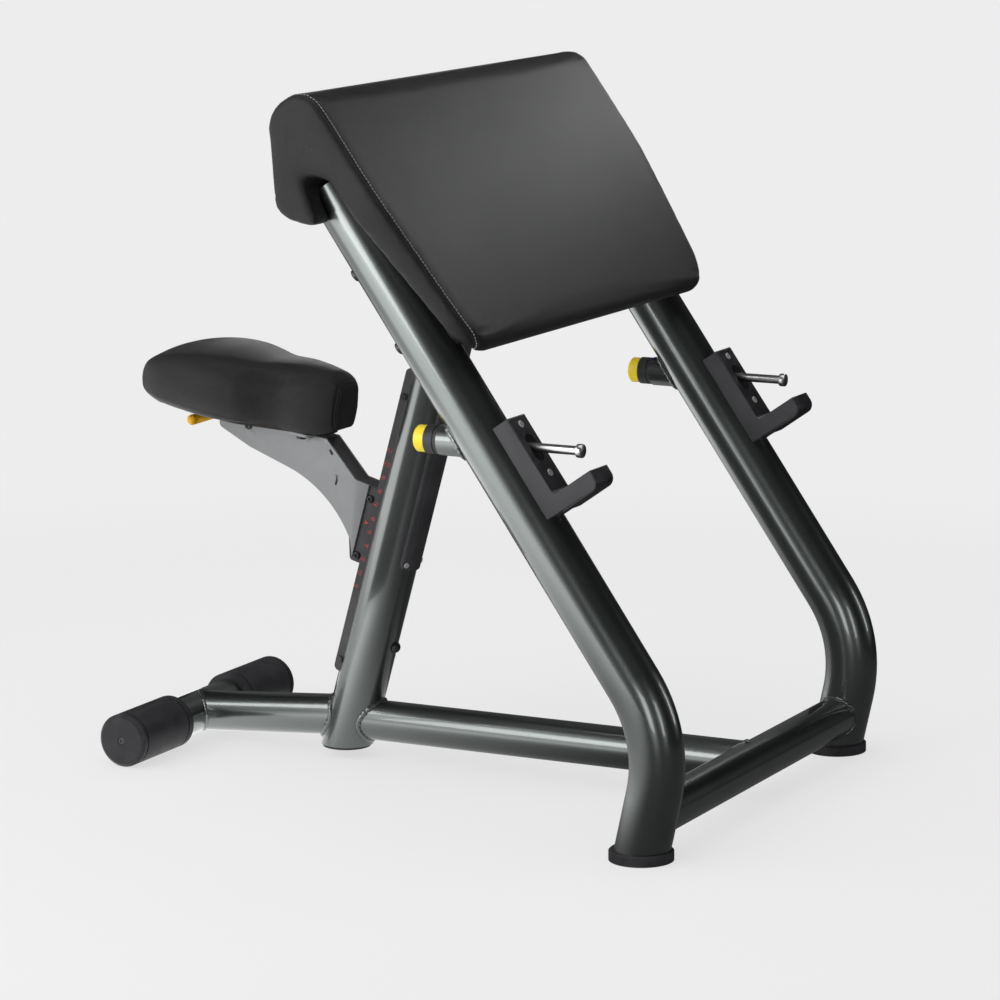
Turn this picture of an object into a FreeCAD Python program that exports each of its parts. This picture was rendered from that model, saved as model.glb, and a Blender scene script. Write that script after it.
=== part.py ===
import FreeCAD, Part

import math
import os

# Preacher curl bench: a bent tube frame with a padded arm rest, a saddle seat that
# slides on a leaning column, two bar cradles and two sliding bar pegs.
# Millimetres, +Z up, floor at z = 0, X across the bench, the bar side towards -Y.
# Left means -X. The origin is on the floor, in the middle of the bench's box.

# Gaps: between fixed curved faces, between moving faces, and around a running shaft
FIXED_GAP = 0.2
MOVING_GAP = 0.3
SHAFT_GAP = 0.05

# Frame tubes
LEG_TUBE_D = 76.1
LEG_TUBE_WALL = 3.2
BEAM_TUBE_D = 60.3
BEAM_TUBE_WALL = 3.0

# Legs: a raked upper run, a knee bend and a short lower run that leans the other way
LEG_SPACING = 671.7
KNEE_Y = -481.9
KNEE_Z = 171.0
LEG_RAKE = 55.22
FOOT_LEAN = 12.78
KNEE_RADIUS = 190.0
LEG_LENGTH = 838.0
LEG_PLUG_D = 70.0
LEG_PLUG_L = 38.0
PLUG_T = 4.0
PLUG_DEPTH = 18.0

# Foot caps under the legs
FOOT_CAP_D = 89.0
FOOT_CAP_H = 14.5
FOOT_CAP_FLOOR = 6.0
FOOT_CAP_BEVEL = 2.0

# Base: cross tubes, beams and column, set back from the knee
FRONT_TUBE_Z = 58.0
FRONT_BEAM_REAR_Z = 56.5
COLUMN_SETBACK = 687.5
COLUMN_LEAN = 15.85
COLUMN_FOOT_GAP = 17.0
REAR_BEAM_FRONT_Z = 60.5
REAR_TUBE_SETBACK = 940.0
REAR_WIDTH = 439.0

# Rubber sleeves on the rear cross tube
SLEEVE_D = 79.0
SLEEVE_L = 138.0
SLEEVE_END_T = 8.0
SLEEVE_BEVEL = 5.0
SLEEVE_GROOVE_W = 3.0
SLEEVE_GROOVE_DEPTH = 1.6
SLEEVE_GROOVE_AT = 11.0
SLEEVE_SCREW_D = 8.0
SLEEVE_SCREW_HEAD_D = 12.0
SLEEVE_SCREW_RECESS = 3.0

# Seat rail: a slotted channel let into the back of the column
RAIL_BOTTOM = 128.0
RAIL_TOP = 606.0
RAIL_W = 50.0
RAIL_DEPTH = 28.0
RAIL_PROUD = 1.5
RAIL_WALL = 3.0
RAIL_SLOT_W = 22.0
RAIL_END_R = 8.0
STOP_BOLT_D = 6.0
STOP_BOLT_HEAD_D = 10.0
STOP_BOLT_HEAD_H = 2.5
STOP_BOLT_DEPTH = 6.0
ANCHOR_BOLT_AT = 187.0
ANCHOR_BOLT_D = 10.0
ANCHOR_HEAD_D = 18.0
ANCHOR_HEAD_H = 8.0

# Plastic cover on the front of the column
COVER_BOTTOM = 312.0
COVER_TOP = 600.0
COVER_T = 3.3
COVER_SPAN = 42.0
COVER_END_R = 8.0
COVER_SCREW_D = 4.0
COVER_SCREW_HEAD_D = 8.0
COVER_SCREW_HEAD_H = 1.2
COVER_SCREW_ANGLE = 33.0
COVER_SCREW_INSET = 9.0

# Arm pad, measured along the rake from the knee, and down from its top or its arm surface
PAD_BOTTOM = 569.0
PAD_TOP = 997.0
PAD_TOP_W = 826.0
PAD_BOTTOM_W = 742.0
PAD_TAPER_DROP = 192.0
PAD_CORNER_R = 80.0
PAD_CORNER_DROP = 6.0
PAD_TAPER_R = 120.0
FOAM_T = 28.0
PAD_CROWN = 4.0
PAD_CROWN_SHARE = 0.524
PAD_SKIRT_T = 50.0
PAD_EDGE_R = 8.0
PAD_NOSE_R = 24.0
PAD_NOSE_UNDER_R = 10.0
ROLL_FRONT_R = 38.0
ROLL_BACK_AT = 77.0
ROLL_BACK_R = 46.0
ROLL_HEEL_DROP = 122.5
ROLL_HEEL_AT = 148.5
ROLL_HEEL_R = 34.0
ROLL_LIP_DROP = 175.0
ROLL_LIP_AT = 97.0
ROLL_LIP_R = 8.0
NOTCH_DROP = 100.0
NOTCH_AT = 80.0
NOTCH_FRONT_DROP = 128.0
NOTCH_R = 5.0
BOARD_T = 18.5
BOARD_W = 690.0
BOARD_RISE = 27.0
BOARD_DROP = 151.0
BOARD_R = 20.0
PAD_BOLT_D = 8.0
PAD_BOLT_HEAD_D = 18.0
PAD_BOLT_HEAD_H = 5.0
PAD_BOLT_GRIP = 12.0
PAD_BOLT_SHARE = (0.176, 0.644)

# Bar cradles on the front of the legs
CRADLE_BOTTOM = 329.0
CRADLE_TOP = 473.0
CRADLE_W = 51.0
CRADLE_FACE = 19.0
CRADLE_WRAP = 10.0
CRADLE_ARM_T = 24.0
CRADLE_ARM_L = 64.0
CRADLE_TIP_L = 2.5
CRADLE_TIP_T = 2.5
CRADLE_TIP_R = 11.0
CRADLE_TIP_TOP_R = 2.0
CRADLE_INNER_R = 6.0
LINER_T = 3.0
LINER_RIM = 2.5
LINER_R = 5.0
CRADLE_SCREW_D = 6.0
CRADLE_SCREW_HEAD_D = 10.0
CRADLE_SCREW_HEAD_H = 1.5
CRADLE_SCREW_L = 24.0
CRADLE_SCREW_AT = (383.5, 459.7)

# Bar pegs: a headed pin that slides through the leg, with a knob behind
PEG_Z = 551.3
PEG_D = 12.5
PEG_HEAD_D = 19.0
PEG_HEAD_H = 9.0
PEG_REACH = 142.5
PEG_SLOT_W = 24.0
PEG_SLOT_L = 42.0
PEG_HOLE_D = 24.0
STUB_D = 42.4
STUB_WALL = 3.2
STUB_BACK = 71.0
BUSH_D = 40.0
BUSH_L = 20.5
BUSH_SPIGOT_L = 10.0
BUSH_GROOVE_W = 2.0
BUSH_GROOVE_DEPTH = 1.2
BUSH_GROOVE_AT = 5.0
KNOB_D = 37.0
KNOB_L = 16.5
KNOB_BEVEL = 2.5
KNOB_SOCKET_L = 12.0

# Seat carriage: two side plates with followers and glides that run in the rail
PLATE_T = 4.0
CARRIAGE_W = 40.0
FOLLOWER_T = 3.0
RUNNER_BOTTOM = 294.0
RUNNER_TOP = 413.5
FOLLOWER_BACK = 52.0
FOLLOWER_R = 6.0
RUNNER_GAP = 1.0
PLATE_STANDOFF = 17.0
PLATE_FOOT = 6.0
GLIDE_L = 40.0
LOWER_GLIDE_INSET = 10.0
UPPER_GLIDE_INSET = 20.0
GLIDE_BACK = 20.0
GLIDE_NECK_GAP = 1.0
GLIDE_BOLT_D = 8.0
GLIDE_BOLT_HEAD_D = 11.5
GLIDE_BOLT_HEAD_H = 3.5
GLIDE_BOLT_OUT = 11.0
SEAT_DOWN = 135.0
SEAT_UP = 145.0

# Side plate outline, from the plate's upper front corner: rearwards and upwards
KINK_BACK = 23.5
STRIP_TOP_BACK = 70.0
STRIP_T = 2.5
BELLY_LOW = (33.3, -84.2)
BELLY_MID = (68.7, -29.5)
BELLY_BACK = (133.5, 15.6)
BELLY_TAIL = (201.8, 42.5)
TAIL_TIP_BACK = 256.9
TAIL_TIP_UP = 72.4
TAIL_TIP_R = 9.0
TAB_SLOT_AT = (55.0, 0.5)
TAB_SLOT_L = 9.0
TAB_SLOT_W = 3.0
STRIP_SLOT_AT = (63.0, 44.5)
STRIP_SLOT_L = 8.0
STRIP_SLOT_W = 3.5
STRIP_SLOT_LEAN = 30.0

# Seat plane under the cushion, its board and its mount plate
SEAT_PLANE_BACK = 76.5
SEAT_PLANE_UP = 68.7
SEAT_PITCH = 7.85
SEAT_BOARD_T = 12.0
SEAT_BOARD_FRONT = 72.0
SEAT_BOARD_REAR = 258.0
SEAT_BOARD_NOSE_W = 52.0
SEAT_BOARD_REAR_W = 140.0
SEAT_BOARD_R = 22.0
MOUNT_PLATE_T = 4.0
MOUNT_PLATE_FRONT = 88.0
MOUNT_PLATE_REAR = 236.0
MOUNT_PLATE_W = 84.0
MOUNT_PLATE_R = 8.0
MOUNT_SLOT_W = 12.0
MOUNT_SLOT_FRONT = 188.0
SEAT_BOLT_D = 8.0
SEAT_BOLT_HEAD_D = 14.0
SEAT_BOLT_HEAD_H = 5.0
SEAT_BOLT_GRIP = 8.0
SEAT_BOLT_ACROSS = 62.0
SEAT_BOLT_AT = (106.0, 218.0)

# Seat cushion stations: back from the plate corner, half width, bottom above the seat
# plane, and height of the crown above the seat plane
SEAT_STATIONS = (
    (48.7, 28.8, 15.9, 82.6),
    (52.5, 34.5, 12.0, 85.2),
    (59.7, 39.7, 8.9, 87.9),
    (86.2, 50.5, 1.5, 92.3),
    (129.9, 63.1, 2.0, 94.9),
    (179.9, 86.6, 4.6, 97.6),
    (229.8, 102.4, 6.5, 103.3),
    (279.8, 107.0, 13.1, 100.8),
    (323.5, 101.8, 22.0, 88.5),
    (350.5, 85.3, 29.8, 73.0),
    (364.0, 67.0, 37.0, 57.0),
)
SEAT_TUCK = 0.8
SEAT_SHOULDER = 0.8
SEAT_CROWN = 0.11
SEAT_BULGE = 0.45

# Release lever, its pivot, and the pull bar with the brake pad
LEVER_PIVOT_BACK = 203.5
LEVER_PIVOT_UP = 74.5
LEVER_PIVOT_D = 8.0
LEVER_HEAD_D = 12.0
LEVER_HEAD_H = 4.0
LEVER_NUT_D = 12.0
LEVER_T = 6.0
LEVER_BOSS_D = 13.0
LEVER_ARM_H = 9.0
LEVER_REACH = 63.0
LEVER_RISE = 10.0
LEVER_CRANK = 20.0
CRANK_ARM_W = 10.0
CRANK_PIN_D = 6.0
GRIP_D = 9.0
GRIP_OUT = 62.0
GRIP_BACK = 8.0
GRIP_END_D = 16.0
PULL_ANGLE = 28.55
PULL_BAR_H = 12.0
PULL_BAR_T = 8.0
PULL_EYE_D = 16.0
PULL_EYE_GAP = 0.6
PULL_EYE_RISE = 1.2
BRAKE_W = 22.0
BRAKE_L = 26.0
BRAKE_T = 8.0
POINTER_L = 7.0
POINTER_T = 0.8
POINTER_AT = 357.0

# Worked out from the sizes above
LEG_X = LEG_SPACING / 2
LEG_R = LEG_TUBE_D / 2
BEAM_R = BEAM_TUBE_D / 2
COLUMN_Y = KNEE_Y + COLUMN_SETBACK
REAR_TUBE_Y = KNEE_Y + REAR_TUBE_SETBACK
REAR_TUBE_Z = SLEEVE_D / 2
RAKE = math.radians(LEG_RAKE)
LEAN = math.radians(COLUMN_LEAN)
FOOT = math.radians(FOOT_LEAN)
PITCH = math.radians(SEAT_PITCH)
PULL = math.radians(PULL_ANGLE)
RAIL_REAR = LEG_R + RAIL_PROUD
RAIL_FLOOR = RAIL_REAR - RAIL_DEPTH
RUNNER_FRONT = RAIL_REAR + RUNNER_GAP
PLATE_FRONT = RAIL_REAR + PLATE_STANDOFF
ARM_FACE = LEG_R + BOARD_T + FOAM_T
NOTCH_S = PAD_TOP - NOTCH_DROP
BOARD_BOTTOM = PAD_BOTTOM + BOARD_RISE
BOARD_TOP = PAD_TOP - BOARD_DROP
PAD_BOLT_AT = [BOARD_BOTTOM + (BOARD_TOP - BOARD_BOTTOM) * share for share in PAD_BOLT_SHARE]
INNER_W = CARRIAGE_W - 2 * PLATE_T
PLATE_INSIDE = INNER_W / 2
PLATE_OUTSIDE = CARRIAGE_W / 2
FOLLOWER_INSIDE = PLATE_INSIDE - FOLLOWER_T
SIDES = {"left": -1, "right": 1}


def vec(x, y, z):
    return FreeCAD.Vector(x, y, z)


X_AXIS = vec(1, 0, 0)
Y_AXIS = vec(0, 1, 0)
Z_AXIS = vec(0, 0, 1)
LEG_UP = vec(0, math.cos(RAKE), math.sin(RAKE))
LEG_OUT = vec(0, -math.sin(RAKE), math.cos(RAKE))
FOOT_DOWN = vec(0, math.sin(FOOT), -math.cos(FOOT))
COLUMN_UP = vec(0, -math.sin(LEAN), math.cos(LEAN))
COLUMN_BACK = vec(0, math.cos(LEAN), math.sin(LEAN))
SEAT_BACK = vec(0, math.cos(PITCH), math.sin(PITCH))
SEAT_UPWARD = vec(0, -math.sin(PITCH), math.cos(PITCH))
PULL_BACK = vec(0, math.cos(PULL), math.sin(PULL))
PULL_UPWARD = vec(0, -math.sin(PULL), math.cos(PULL))


def leg_point(x, along, out):
    """Point by distance up the rake from the knee and out from the tube's axis."""
    return vec(x, KNEE_Y, KNEE_Z) + LEG_UP * along + LEG_OUT * out


def column_point(x, along, back):
    """Point by distance up the column from the floor and back from its axis."""
    return vec(x, COLUMN_Y, 0) + COLUMN_UP * along + COLUMN_BACK * back


def carriage_point(x, back, up):
    """Point behind and above the upper front corner of the side plates."""
    return column_point(x, RUNNER_TOP, PLATE_FRONT) + Y_AXIS * back + Z_AXIS * up


def seat_point(x, back, up):
    """Point on or above the seat plane, by level distance behind the plate corner."""
    start = carriage_point(x, SEAT_PLANE_BACK, SEAT_PLANE_UP)
    return start + SEAT_BACK * ((back - SEAT_PLANE_BACK) / math.cos(PITCH)) + SEAT_UPWARD * up


def rounded_wire(corners):
    """Closed wire through (point, radius) corners, with a tangent arc at each radius."""
    bends = []
    count = len(corners)
    for index, (point, radius) in enumerate(corners):
        to_last = (corners[index - 1][0] - point).normalize()
        to_next = (corners[(index + 1) % count][0] - point).normalize()
        if radius == 0:
            bends.append((point, None, point))
            continue
        half = to_last.getAngle(to_next) / 2
        inward = (to_last + to_next).normalize()
        reach = radius / math.tan(half)
        middle = point + inward * (radius / math.sin(half) - radius)
        bends.append((point + to_last * reach, middle, point + to_next * reach))
    edges = []
    for index, (start, middle, end) in enumerate(bends):
        if middle is not None:
            edges.append(Part.Arc(start, middle, end).toShape())
        following = bends[(index + 1) % count][0]
        if (following - end).Length > 1e-6:
            edges.append(Part.LineSegment(end, following).toShape())
    return Part.Wire(edges)


def slab(corners, direction):
    """Solid from a closed outline of (point, radius) corners, extruded along a vector."""
    return Part.Face(rounded_wire(corners)).extrude(direction)


def rod(start, end, diameter):
    run = end - start
    return Part.makeCylinder(diameter / 2, run.Length, start, run)


def block(centre, axes, sizes):
    """Box by its centre, three square axes and its size along each."""
    a, b, c = [axis * size for axis, size in zip(axes, sizes)]
    low = centre - (a + b + c) * 0.5
    corners = [(low, 0), (low + a, 0), (low + a + b, 0), (low + b, 0)]
    return slab(corners, c)


def joined(solids):
    return Part.makeCompound(solids)


def bevelled(solid, size, chosen):
    """Bevel the circular edges whose centre passes the test."""
    edges = [e for e in solid.Edges if hasattr(e.Curve, "Radius") and chosen(e)]
    return solid.makeChamfer(size, edges)


def leg_solid(x, diameter):
    """Solid bar along the leg's path, from below the floor to the top of the leg."""
    knee = vec(x, KNEE_Y, KNEE_Z)
    turn = LEG_UP.getAngle(FOOT_DOWN * -1)
    reach = KNEE_RADIUS * math.tan(turn / 2)
    inward = (FOOT_DOWN + LEG_UP).normalize()
    below = knee + FOOT_DOWN * (KNEE_Z / math.cos(FOOT) + LEG_TUBE_D)
    bend_start = knee + FOOT_DOWN * reach
    bend_end = knee + LEG_UP * reach
    bend_middle = knee + inward * (KNEE_RADIUS / math.cos(turn / 2) - KNEE_RADIUS)
    path = Part.Wire([
        Part.LineSegment(below, bend_start).toShape(),
        Part.Arc(bend_start, bend_middle, bend_end).toShape(),
        Part.LineSegment(bend_end, knee + LEG_UP * LEG_LENGTH).toShape(),
    ])
    disc = Part.Face(Part.Wire(Part.Circle(below, FOOT_DOWN, diameter / 2).toShape()))
    return path.makePipe(disc)


def upper_leg_bar(x, diameter):
    """Straight bar along the raked run of a leg, for seats and tunnels."""
    return rod(leg_point(x, KNEE_RADIUS, 0), leg_point(x, LEG_LENGTH + LEG_PLUG_L, 0), diameter)


def column_bar(diameter):
    return rod(column_point(0, -LEG_TUBE_D, 0), column_point(0, COLUMN_TOP, 0), diameter)


def floor_cut(height):
    """Everything below a height, to trim a tube level."""
    side = 4 * LEG_SPACING
    return Part.makeBox(side, side, side, vec(-side / 2, -side / 2, height - side))


# Height along the column where its axis meets the plane of the two legs
COLUMN_TOP = (
    (COLUMN_Y - KNEE_Y + KNEE_Z / math.tan(RAKE)) /
    (math.cos(LEAN) / math.tan(RAKE) + math.sin(LEAN))
)
FOOT_Y = KNEE_Y + (KNEE_Z - FOOT_CAP_FLOOR) * math.tan(FOOT)
FRONT_TUBE_Y = KNEE_Y + (KNEE_Z - FRONT_TUBE_Z) * math.tan(FOOT)
PEG_LEG_Y = KNEE_Y + (PEG_Z - KNEE_Z) / math.tan(RAKE)
STUB_END = PEG_LEG_Y + STUB_BACK
BUSH_END = STUB_END + BUSH_L
KNOB_FRONT = BUSH_END + MOVING_GAP
KNOB_END = KNOB_FRONT + KNOB_L
PEG_TIP = PEG_LEG_Y - PEG_REACH
PEG_EXIT = (PEG_Z - KNEE_Z - (LEG_R + CRADLE_FACE) * math.cos(RAKE)) / math.sin(RAKE)

LEG_BARS = {side: leg_solid(sign * LEG_X, LEG_TUBE_D) for side, sign in SIDES.items()}
FRONT_TUBE_BAR = rod(vec(-LEG_X, FRONT_TUBE_Y, FRONT_TUBE_Z), vec(LEG_X, FRONT_TUBE_Y, FRONT_TUBE_Z),
                     BEAM_TUBE_D)
REAR_TUBE_HALF = REAR_WIDTH / 2 - SLEEVE_END_T
REAR_TUBE_BAR = rod(vec(-REAR_TUBE_HALF, REAR_TUBE_Y, REAR_TUBE_Z),
                    vec(REAR_TUBE_HALF, REAR_TUBE_Y, REAR_TUBE_Z), BEAM_TUBE_D)
FRONT_TUBE_COPE = rod(vec(-LEG_X, FRONT_TUBE_Y, FRONT_TUBE_Z), vec(LEG_X, FRONT_TUBE_Y, FRONT_TUBE_Z),
                      BEAM_TUBE_D + 2 * FIXED_GAP)
REAR_TUBE_COPE = rod(vec(-REAR_TUBE_HALF, REAR_TUBE_Y, REAR_TUBE_Z),
                     vec(REAR_TUBE_HALF, REAR_TUBE_Y, REAR_TUBE_Z), BEAM_TUBE_D + 2 * FIXED_GAP)
UPPER_TUBE_AT = column_point(0, COLUMN_TOP, 0)
UPPER_TUBE_BAR = rod(UPPER_TUBE_AT - X_AXIS * LEG_X, UPPER_TUBE_AT + X_AXIS * LEG_X, BEAM_TUBE_D)
COLUMN_BAR = column_bar(LEG_TUBE_D)


def leg_tube(side):
    x = SIDES[side] * LEG_X
    tube = LEG_BARS[side].cut(leg_solid(x, LEG_TUBE_D - 2 * LEG_TUBE_WALL))
    tube = tube.cut(floor_cut(FOOT_CAP_FLOOR))
    peg_hole = rod(vec(x, PEG_LEG_Y - 2 * LEG_TUBE_D, PEG_Z), vec(x, PEG_LEG_Y + 2 * LEG_TUBE_D, PEG_Z),
                   PEG_HOLE_D)
    tube = tube.cut(peg_hole)
    for along in PAD_BOLT_AT:
        tube = tube.cut(rod(leg_point(x, along, -2 * LEG_R), leg_point(x, along, 2 * LEG_R),
                            PAD_BOLT_D + 2 * FIXED_GAP))
    for along in CRADLE_SCREW_AT:
        tube = tube.cut(rod(leg_point(x, along, 0), leg_point(x, along, 2 * LEG_R),
                            CRADLE_SCREW_D + 2 * FIXED_GAP))
    return tube


def leg_plug(side):
    """Plug in the top of a leg, with a stem that stands up into the pad."""
    x = SIDES[side] * LEG_X
    top = leg_point(x, LEG_LENGTH, 0)
    stem = rod(top, top + LEG_UP * LEG_PLUG_L, LEG_PLUG_D)
    spigot = rod(top - LEG_UP * PLUG_DEPTH, top, LEG_TUBE_D - 2 * LEG_TUBE_WALL - 2 * FIXED_GAP)
    return stem.fuse(spigot)


def foot_cap(side):
    x = SIDES[side] * LEG_X
    cap = Part.makeCylinder(FOOT_CAP_D / 2, FOOT_CAP_H, vec(x, FOOT_Y, 0), Z_AXIS)
    cap = bevelled(cap, FOOT_CAP_BEVEL, lambda edge: edge.Curve.Center.z > FOOT_CAP_FLOOR)
    socket = leg_solid(x, LEG_TUBE_D + 2 * FIXED_GAP).cut(floor_cut(FOOT_CAP_FLOOR))
    return cap.cut(socket)


def hollow(bar, start, end, wall_d):
    return bar.cut(rod(start, end, wall_d))


def front_cross_tube():
    half = vec(LEG_X, 0, 0)
    middle = vec(0, FRONT_TUBE_Y, FRONT_TUBE_Z)
    tube = hollow(FRONT_TUBE_BAR, middle - half, middle + half, BEAM_TUBE_D - 2 * BEAM_TUBE_WALL)
    return tube.cut(LEG_BARS["left"]).cut(LEG_BARS["right"])


def upper_cross_tube():
    half = vec(LEG_X, 0, 0)
    tube = hollow(UPPER_TUBE_BAR, UPPER_TUBE_AT - half, UPPER_TUBE_AT + half,
                  BEAM_TUBE_D - 2 * BEAM_TUBE_WALL)
    return tube.cut(LEG_BARS["left"]).cut(LEG_BARS["right"])


def column_tube():
    tube = COLUMN_BAR.cut(column_bar(LEG_TUBE_D - 2 * LEG_TUBE_WALL))
    tube = tube.cut(UPPER_TUBE_BAR).cut(floor_cut(COLUMN_FOOT_GAP))
    slot_l = RAIL_TOP - RAIL_BOTTOM + 2 * FIXED_GAP
    slot_depth = RAIL_DEPTH + LEG_TUBE_D
    slot_at = column_point(0, (RAIL_TOP + RAIL_BOTTOM) / 2, RAIL_FLOOR - FIXED_GAP + slot_depth / 2)
    slot = block(slot_at, (X_AXIS, COLUMN_UP, COLUMN_BACK),
                 (RAIL_W + 2 * FIXED_GAP, slot_l, slot_depth))
    bolt_hole = rod(column_point(0, ANCHOR_BOLT_AT, -LEG_TUBE_D), column_point(0, ANCHOR_BOLT_AT, 0),
                    ANCHOR_BOLT_D + 2 * FIXED_GAP)
    tube = tube.cut(slot).cut(bolt_hole)
    for start, outward in cover_screw_places():
        hole = rod(start - outward * LEG_TUBE_WALL, start + outward * LEG_R, COVER_SCREW_D + 2 * SHAFT_GAP)
        tube = tube.cut(hole)
    return tube


def column_plug():
    """Plastic plug that closes the column's lower end, just clear of the floor."""
    plug = column_bar(LEG_TUBE_D - 2 * LEG_TUBE_WALL - 2 * FIXED_GAP)
    plug = plug.cut(floor_cut(COLUMN_FOOT_GAP - PLUG_T))
    top = Part.makeBox(2 * COLUMN_TOP, 2 * COLUMN_TOP, COLUMN_TOP,
                       vec(-COLUMN_TOP, COLUMN_Y - COLUMN_TOP, COLUMN_FOOT_GAP + PLUG_DEPTH))
    return plug.cut(top)


def beam(start, end, cutters):
    tube = rod(start, end, BEAM_TUBE_D).cut(rod(start, end, BEAM_TUBE_D - 2 * BEAM_TUBE_WALL))
    for cutter in cutters:
        tube = tube.cut(cutter)
    return max(tube.Solids, key=lambda solid: solid.Volume)


def front_beam():
    at_column = COLUMN_Y - FRONT_BEAM_REAR_Z * math.tan(LEAN)
    return beam(vec(0, FRONT_TUBE_Y, FRONT_TUBE_Z), vec(0, at_column, FRONT_BEAM_REAR_Z),
                (FRONT_TUBE_COPE, COLUMN_BAR))


def rear_beam():
    at_column = COLUMN_Y - REAR_BEAM_FRONT_Z * math.tan(LEAN)
    return beam(vec(0, at_column, REAR_BEAM_FRONT_Z), vec(0, REAR_TUBE_Y, REAR_TUBE_Z),
                (COLUMN_BAR, REAR_TUBE_COPE))


def rear_cross_tube():
    half = vec(REAR_TUBE_HALF, 0, 0)
    middle = vec(0, REAR_TUBE_Y, REAR_TUBE_Z)
    return hollow(REAR_TUBE_BAR, middle - half, middle + half, BEAM_TUBE_D - 2 * BEAM_TUBE_WALL)


def foot_sleeve(side):
    """Rubber sleeve with a closed, bevelled end and a groove near each end."""
    sign = SIDES[side]
    outer_end = vec(sign * REAR_WIDTH / 2, REAR_TUBE_Y, REAR_TUBE_Z)
    inward = X_AXIS * -sign
    sleeve = rod(outer_end, outer_end + inward * SLEEVE_L, SLEEVE_D)
    sleeve = bevelled(sleeve, SLEEVE_BEVEL, lambda edge: abs(edge.Curve.Center.x) > REAR_TUBE_HALF)
    bore_start = outer_end + inward * SLEEVE_END_T
    sleeve = sleeve.cut(rod(bore_start, outer_end + inward * (2 * SLEEVE_L),
                            BEAM_TUBE_D + 2 * FIXED_GAP))
    for along in (SLEEVE_GROOVE_AT, SLEEVE_L - SLEEVE_GROOVE_AT - SLEEVE_GROOVE_W):
        start = outer_end + inward * along
        end = start + inward * SLEEVE_GROOVE_W
        ring = rod(start, end, SLEEVE_D * 2).cut(rod(start, end, SLEEVE_D - 2 * SLEEVE_GROOVE_DEPTH))
        sleeve = sleeve.cut(ring)
    hole_d = SLEEVE_SCREW_D + 2 * FIXED_GAP
    sleeve = sleeve.cut(rod(outer_end, bore_start, hole_d))
    recess_d = SLEEVE_SCREW_HEAD_D + 2 * FIXED_GAP
    return sleeve.cut(rod(outer_end, outer_end + inward * SLEEVE_SCREW_RECESS, recess_d))


def rear_tube_plugs():
    plugs = []
    for sign in SIDES.values():
        end = vec(sign * REAR_TUBE_HALF, REAR_TUBE_Y, REAR_TUBE_Z)
        inward = X_AXIS * -sign
        plug = rod(end, end + inward * PLUG_DEPTH, BEAM_TUBE_D - 2 * BEAM_TUBE_WALL - 2 * FIXED_GAP)
        plugs.append(plug.cut(rod(end, end + inward * PLUG_DEPTH, SLEEVE_SCREW_D + 2 * SHAFT_GAP)))
    return joined(plugs)


def sleeve_screws():
    screws = []
    for sign in SIDES.values():
        inward = X_AXIS * -sign
        end = vec(sign * REAR_WIDTH / 2, REAR_TUBE_Y, REAR_TUBE_Z)
        seat = end + inward * SLEEVE_SCREW_RECESS
        head = rod(seat - inward * (SLEEVE_SCREW_RECESS - FIXED_GAP), seat, SLEEVE_SCREW_HEAD_D)
        shank = rod(seat, seat + inward * (SLEEVE_END_T + PLUG_DEPTH / 2), SLEEVE_SCREW_D)
        screws.append(head.fuse(shank))
    return joined(screws)


def seat_rail():
    """Channel with inward lips, its open slot facing back."""
    length = RAIL_TOP - RAIL_BOTTOM
    middle = (RAIL_TOP + RAIL_BOTTOM) / 2
    half = RAIL_W / 2
    low = column_point(-half, RAIL_BOTTOM, RAIL_FLOOR)
    deep = COLUMN_BACK * RAIL_DEPTH
    side = [(low, 0), (low + deep, RAIL_END_R), (low + deep + COLUMN_UP * length, RAIL_END_R),
            (low + COLUMN_UP * length, 0)]
    rail = slab(side, X_AXIS * RAIL_W)
    axes = (X_AXIS, COLUMN_UP, COLUMN_BACK)
    room_depth = RAIL_DEPTH - 2 * RAIL_WALL
    room_at = column_point(0, middle, RAIL_FLOOR + RAIL_WALL + room_depth / 2)
    room = block(room_at, axes, (RAIL_W - 2 * RAIL_WALL, 2 * length, room_depth))
    slot = block(column_point(0, middle, RAIL_REAR), axes, (RAIL_SLOT_W, 2 * length, RAIL_DEPTH / 2))
    rail = rail.cut(room).cut(slot)
    for along in stop_bolt_places():
        start = column_point(-RAIL_W, along, RAIL_REAR - STOP_BOLT_DEPTH)
        rail = rail.cut(rod(start, start + X_AXIS * (2 * RAIL_W), STOP_BOLT_D + 2 * SHAFT_GAP))
    bolt_hole = rod(column_point(0, ANCHOR_BOLT_AT, 0), column_point(0, ANCHOR_BOLT_AT, RAIL_DEPTH),
                    ANCHOR_BOLT_D + 2 * SHAFT_GAP)
    return rail.cut(bolt_hole)


def stop_bolt_places():
    """Just past the glides at both ends of the seat's travel."""
    reach = GLIDE_L / 2 + STOP_BOLT_D / 2 + MOVING_GAP
    return (glide_places()["lower_glide"] - reach - SEAT_DOWN,
            glide_places()["upper_glide"] + reach + SEAT_UP)


def rail_stop_bolts():
    """Cross bolts through the rail's ends, which stop the glides."""
    bolts = []
    for along in stop_bolt_places():
        middle = column_point(0, along, RAIL_REAR - STOP_BOLT_DEPTH)
        half = X_AXIS * (RAIL_W / 2)
        shank = rod(middle - half, middle + half, STOP_BOLT_D)
        for sign in SIDES.values():
            face = middle + half * sign
            shank = shank.fuse(rod(face, face + X_AXIS * (sign * STOP_BOLT_HEAD_H), STOP_BOLT_HEAD_D))
        bolts.append(shank)
    return joined(bolts)


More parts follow.
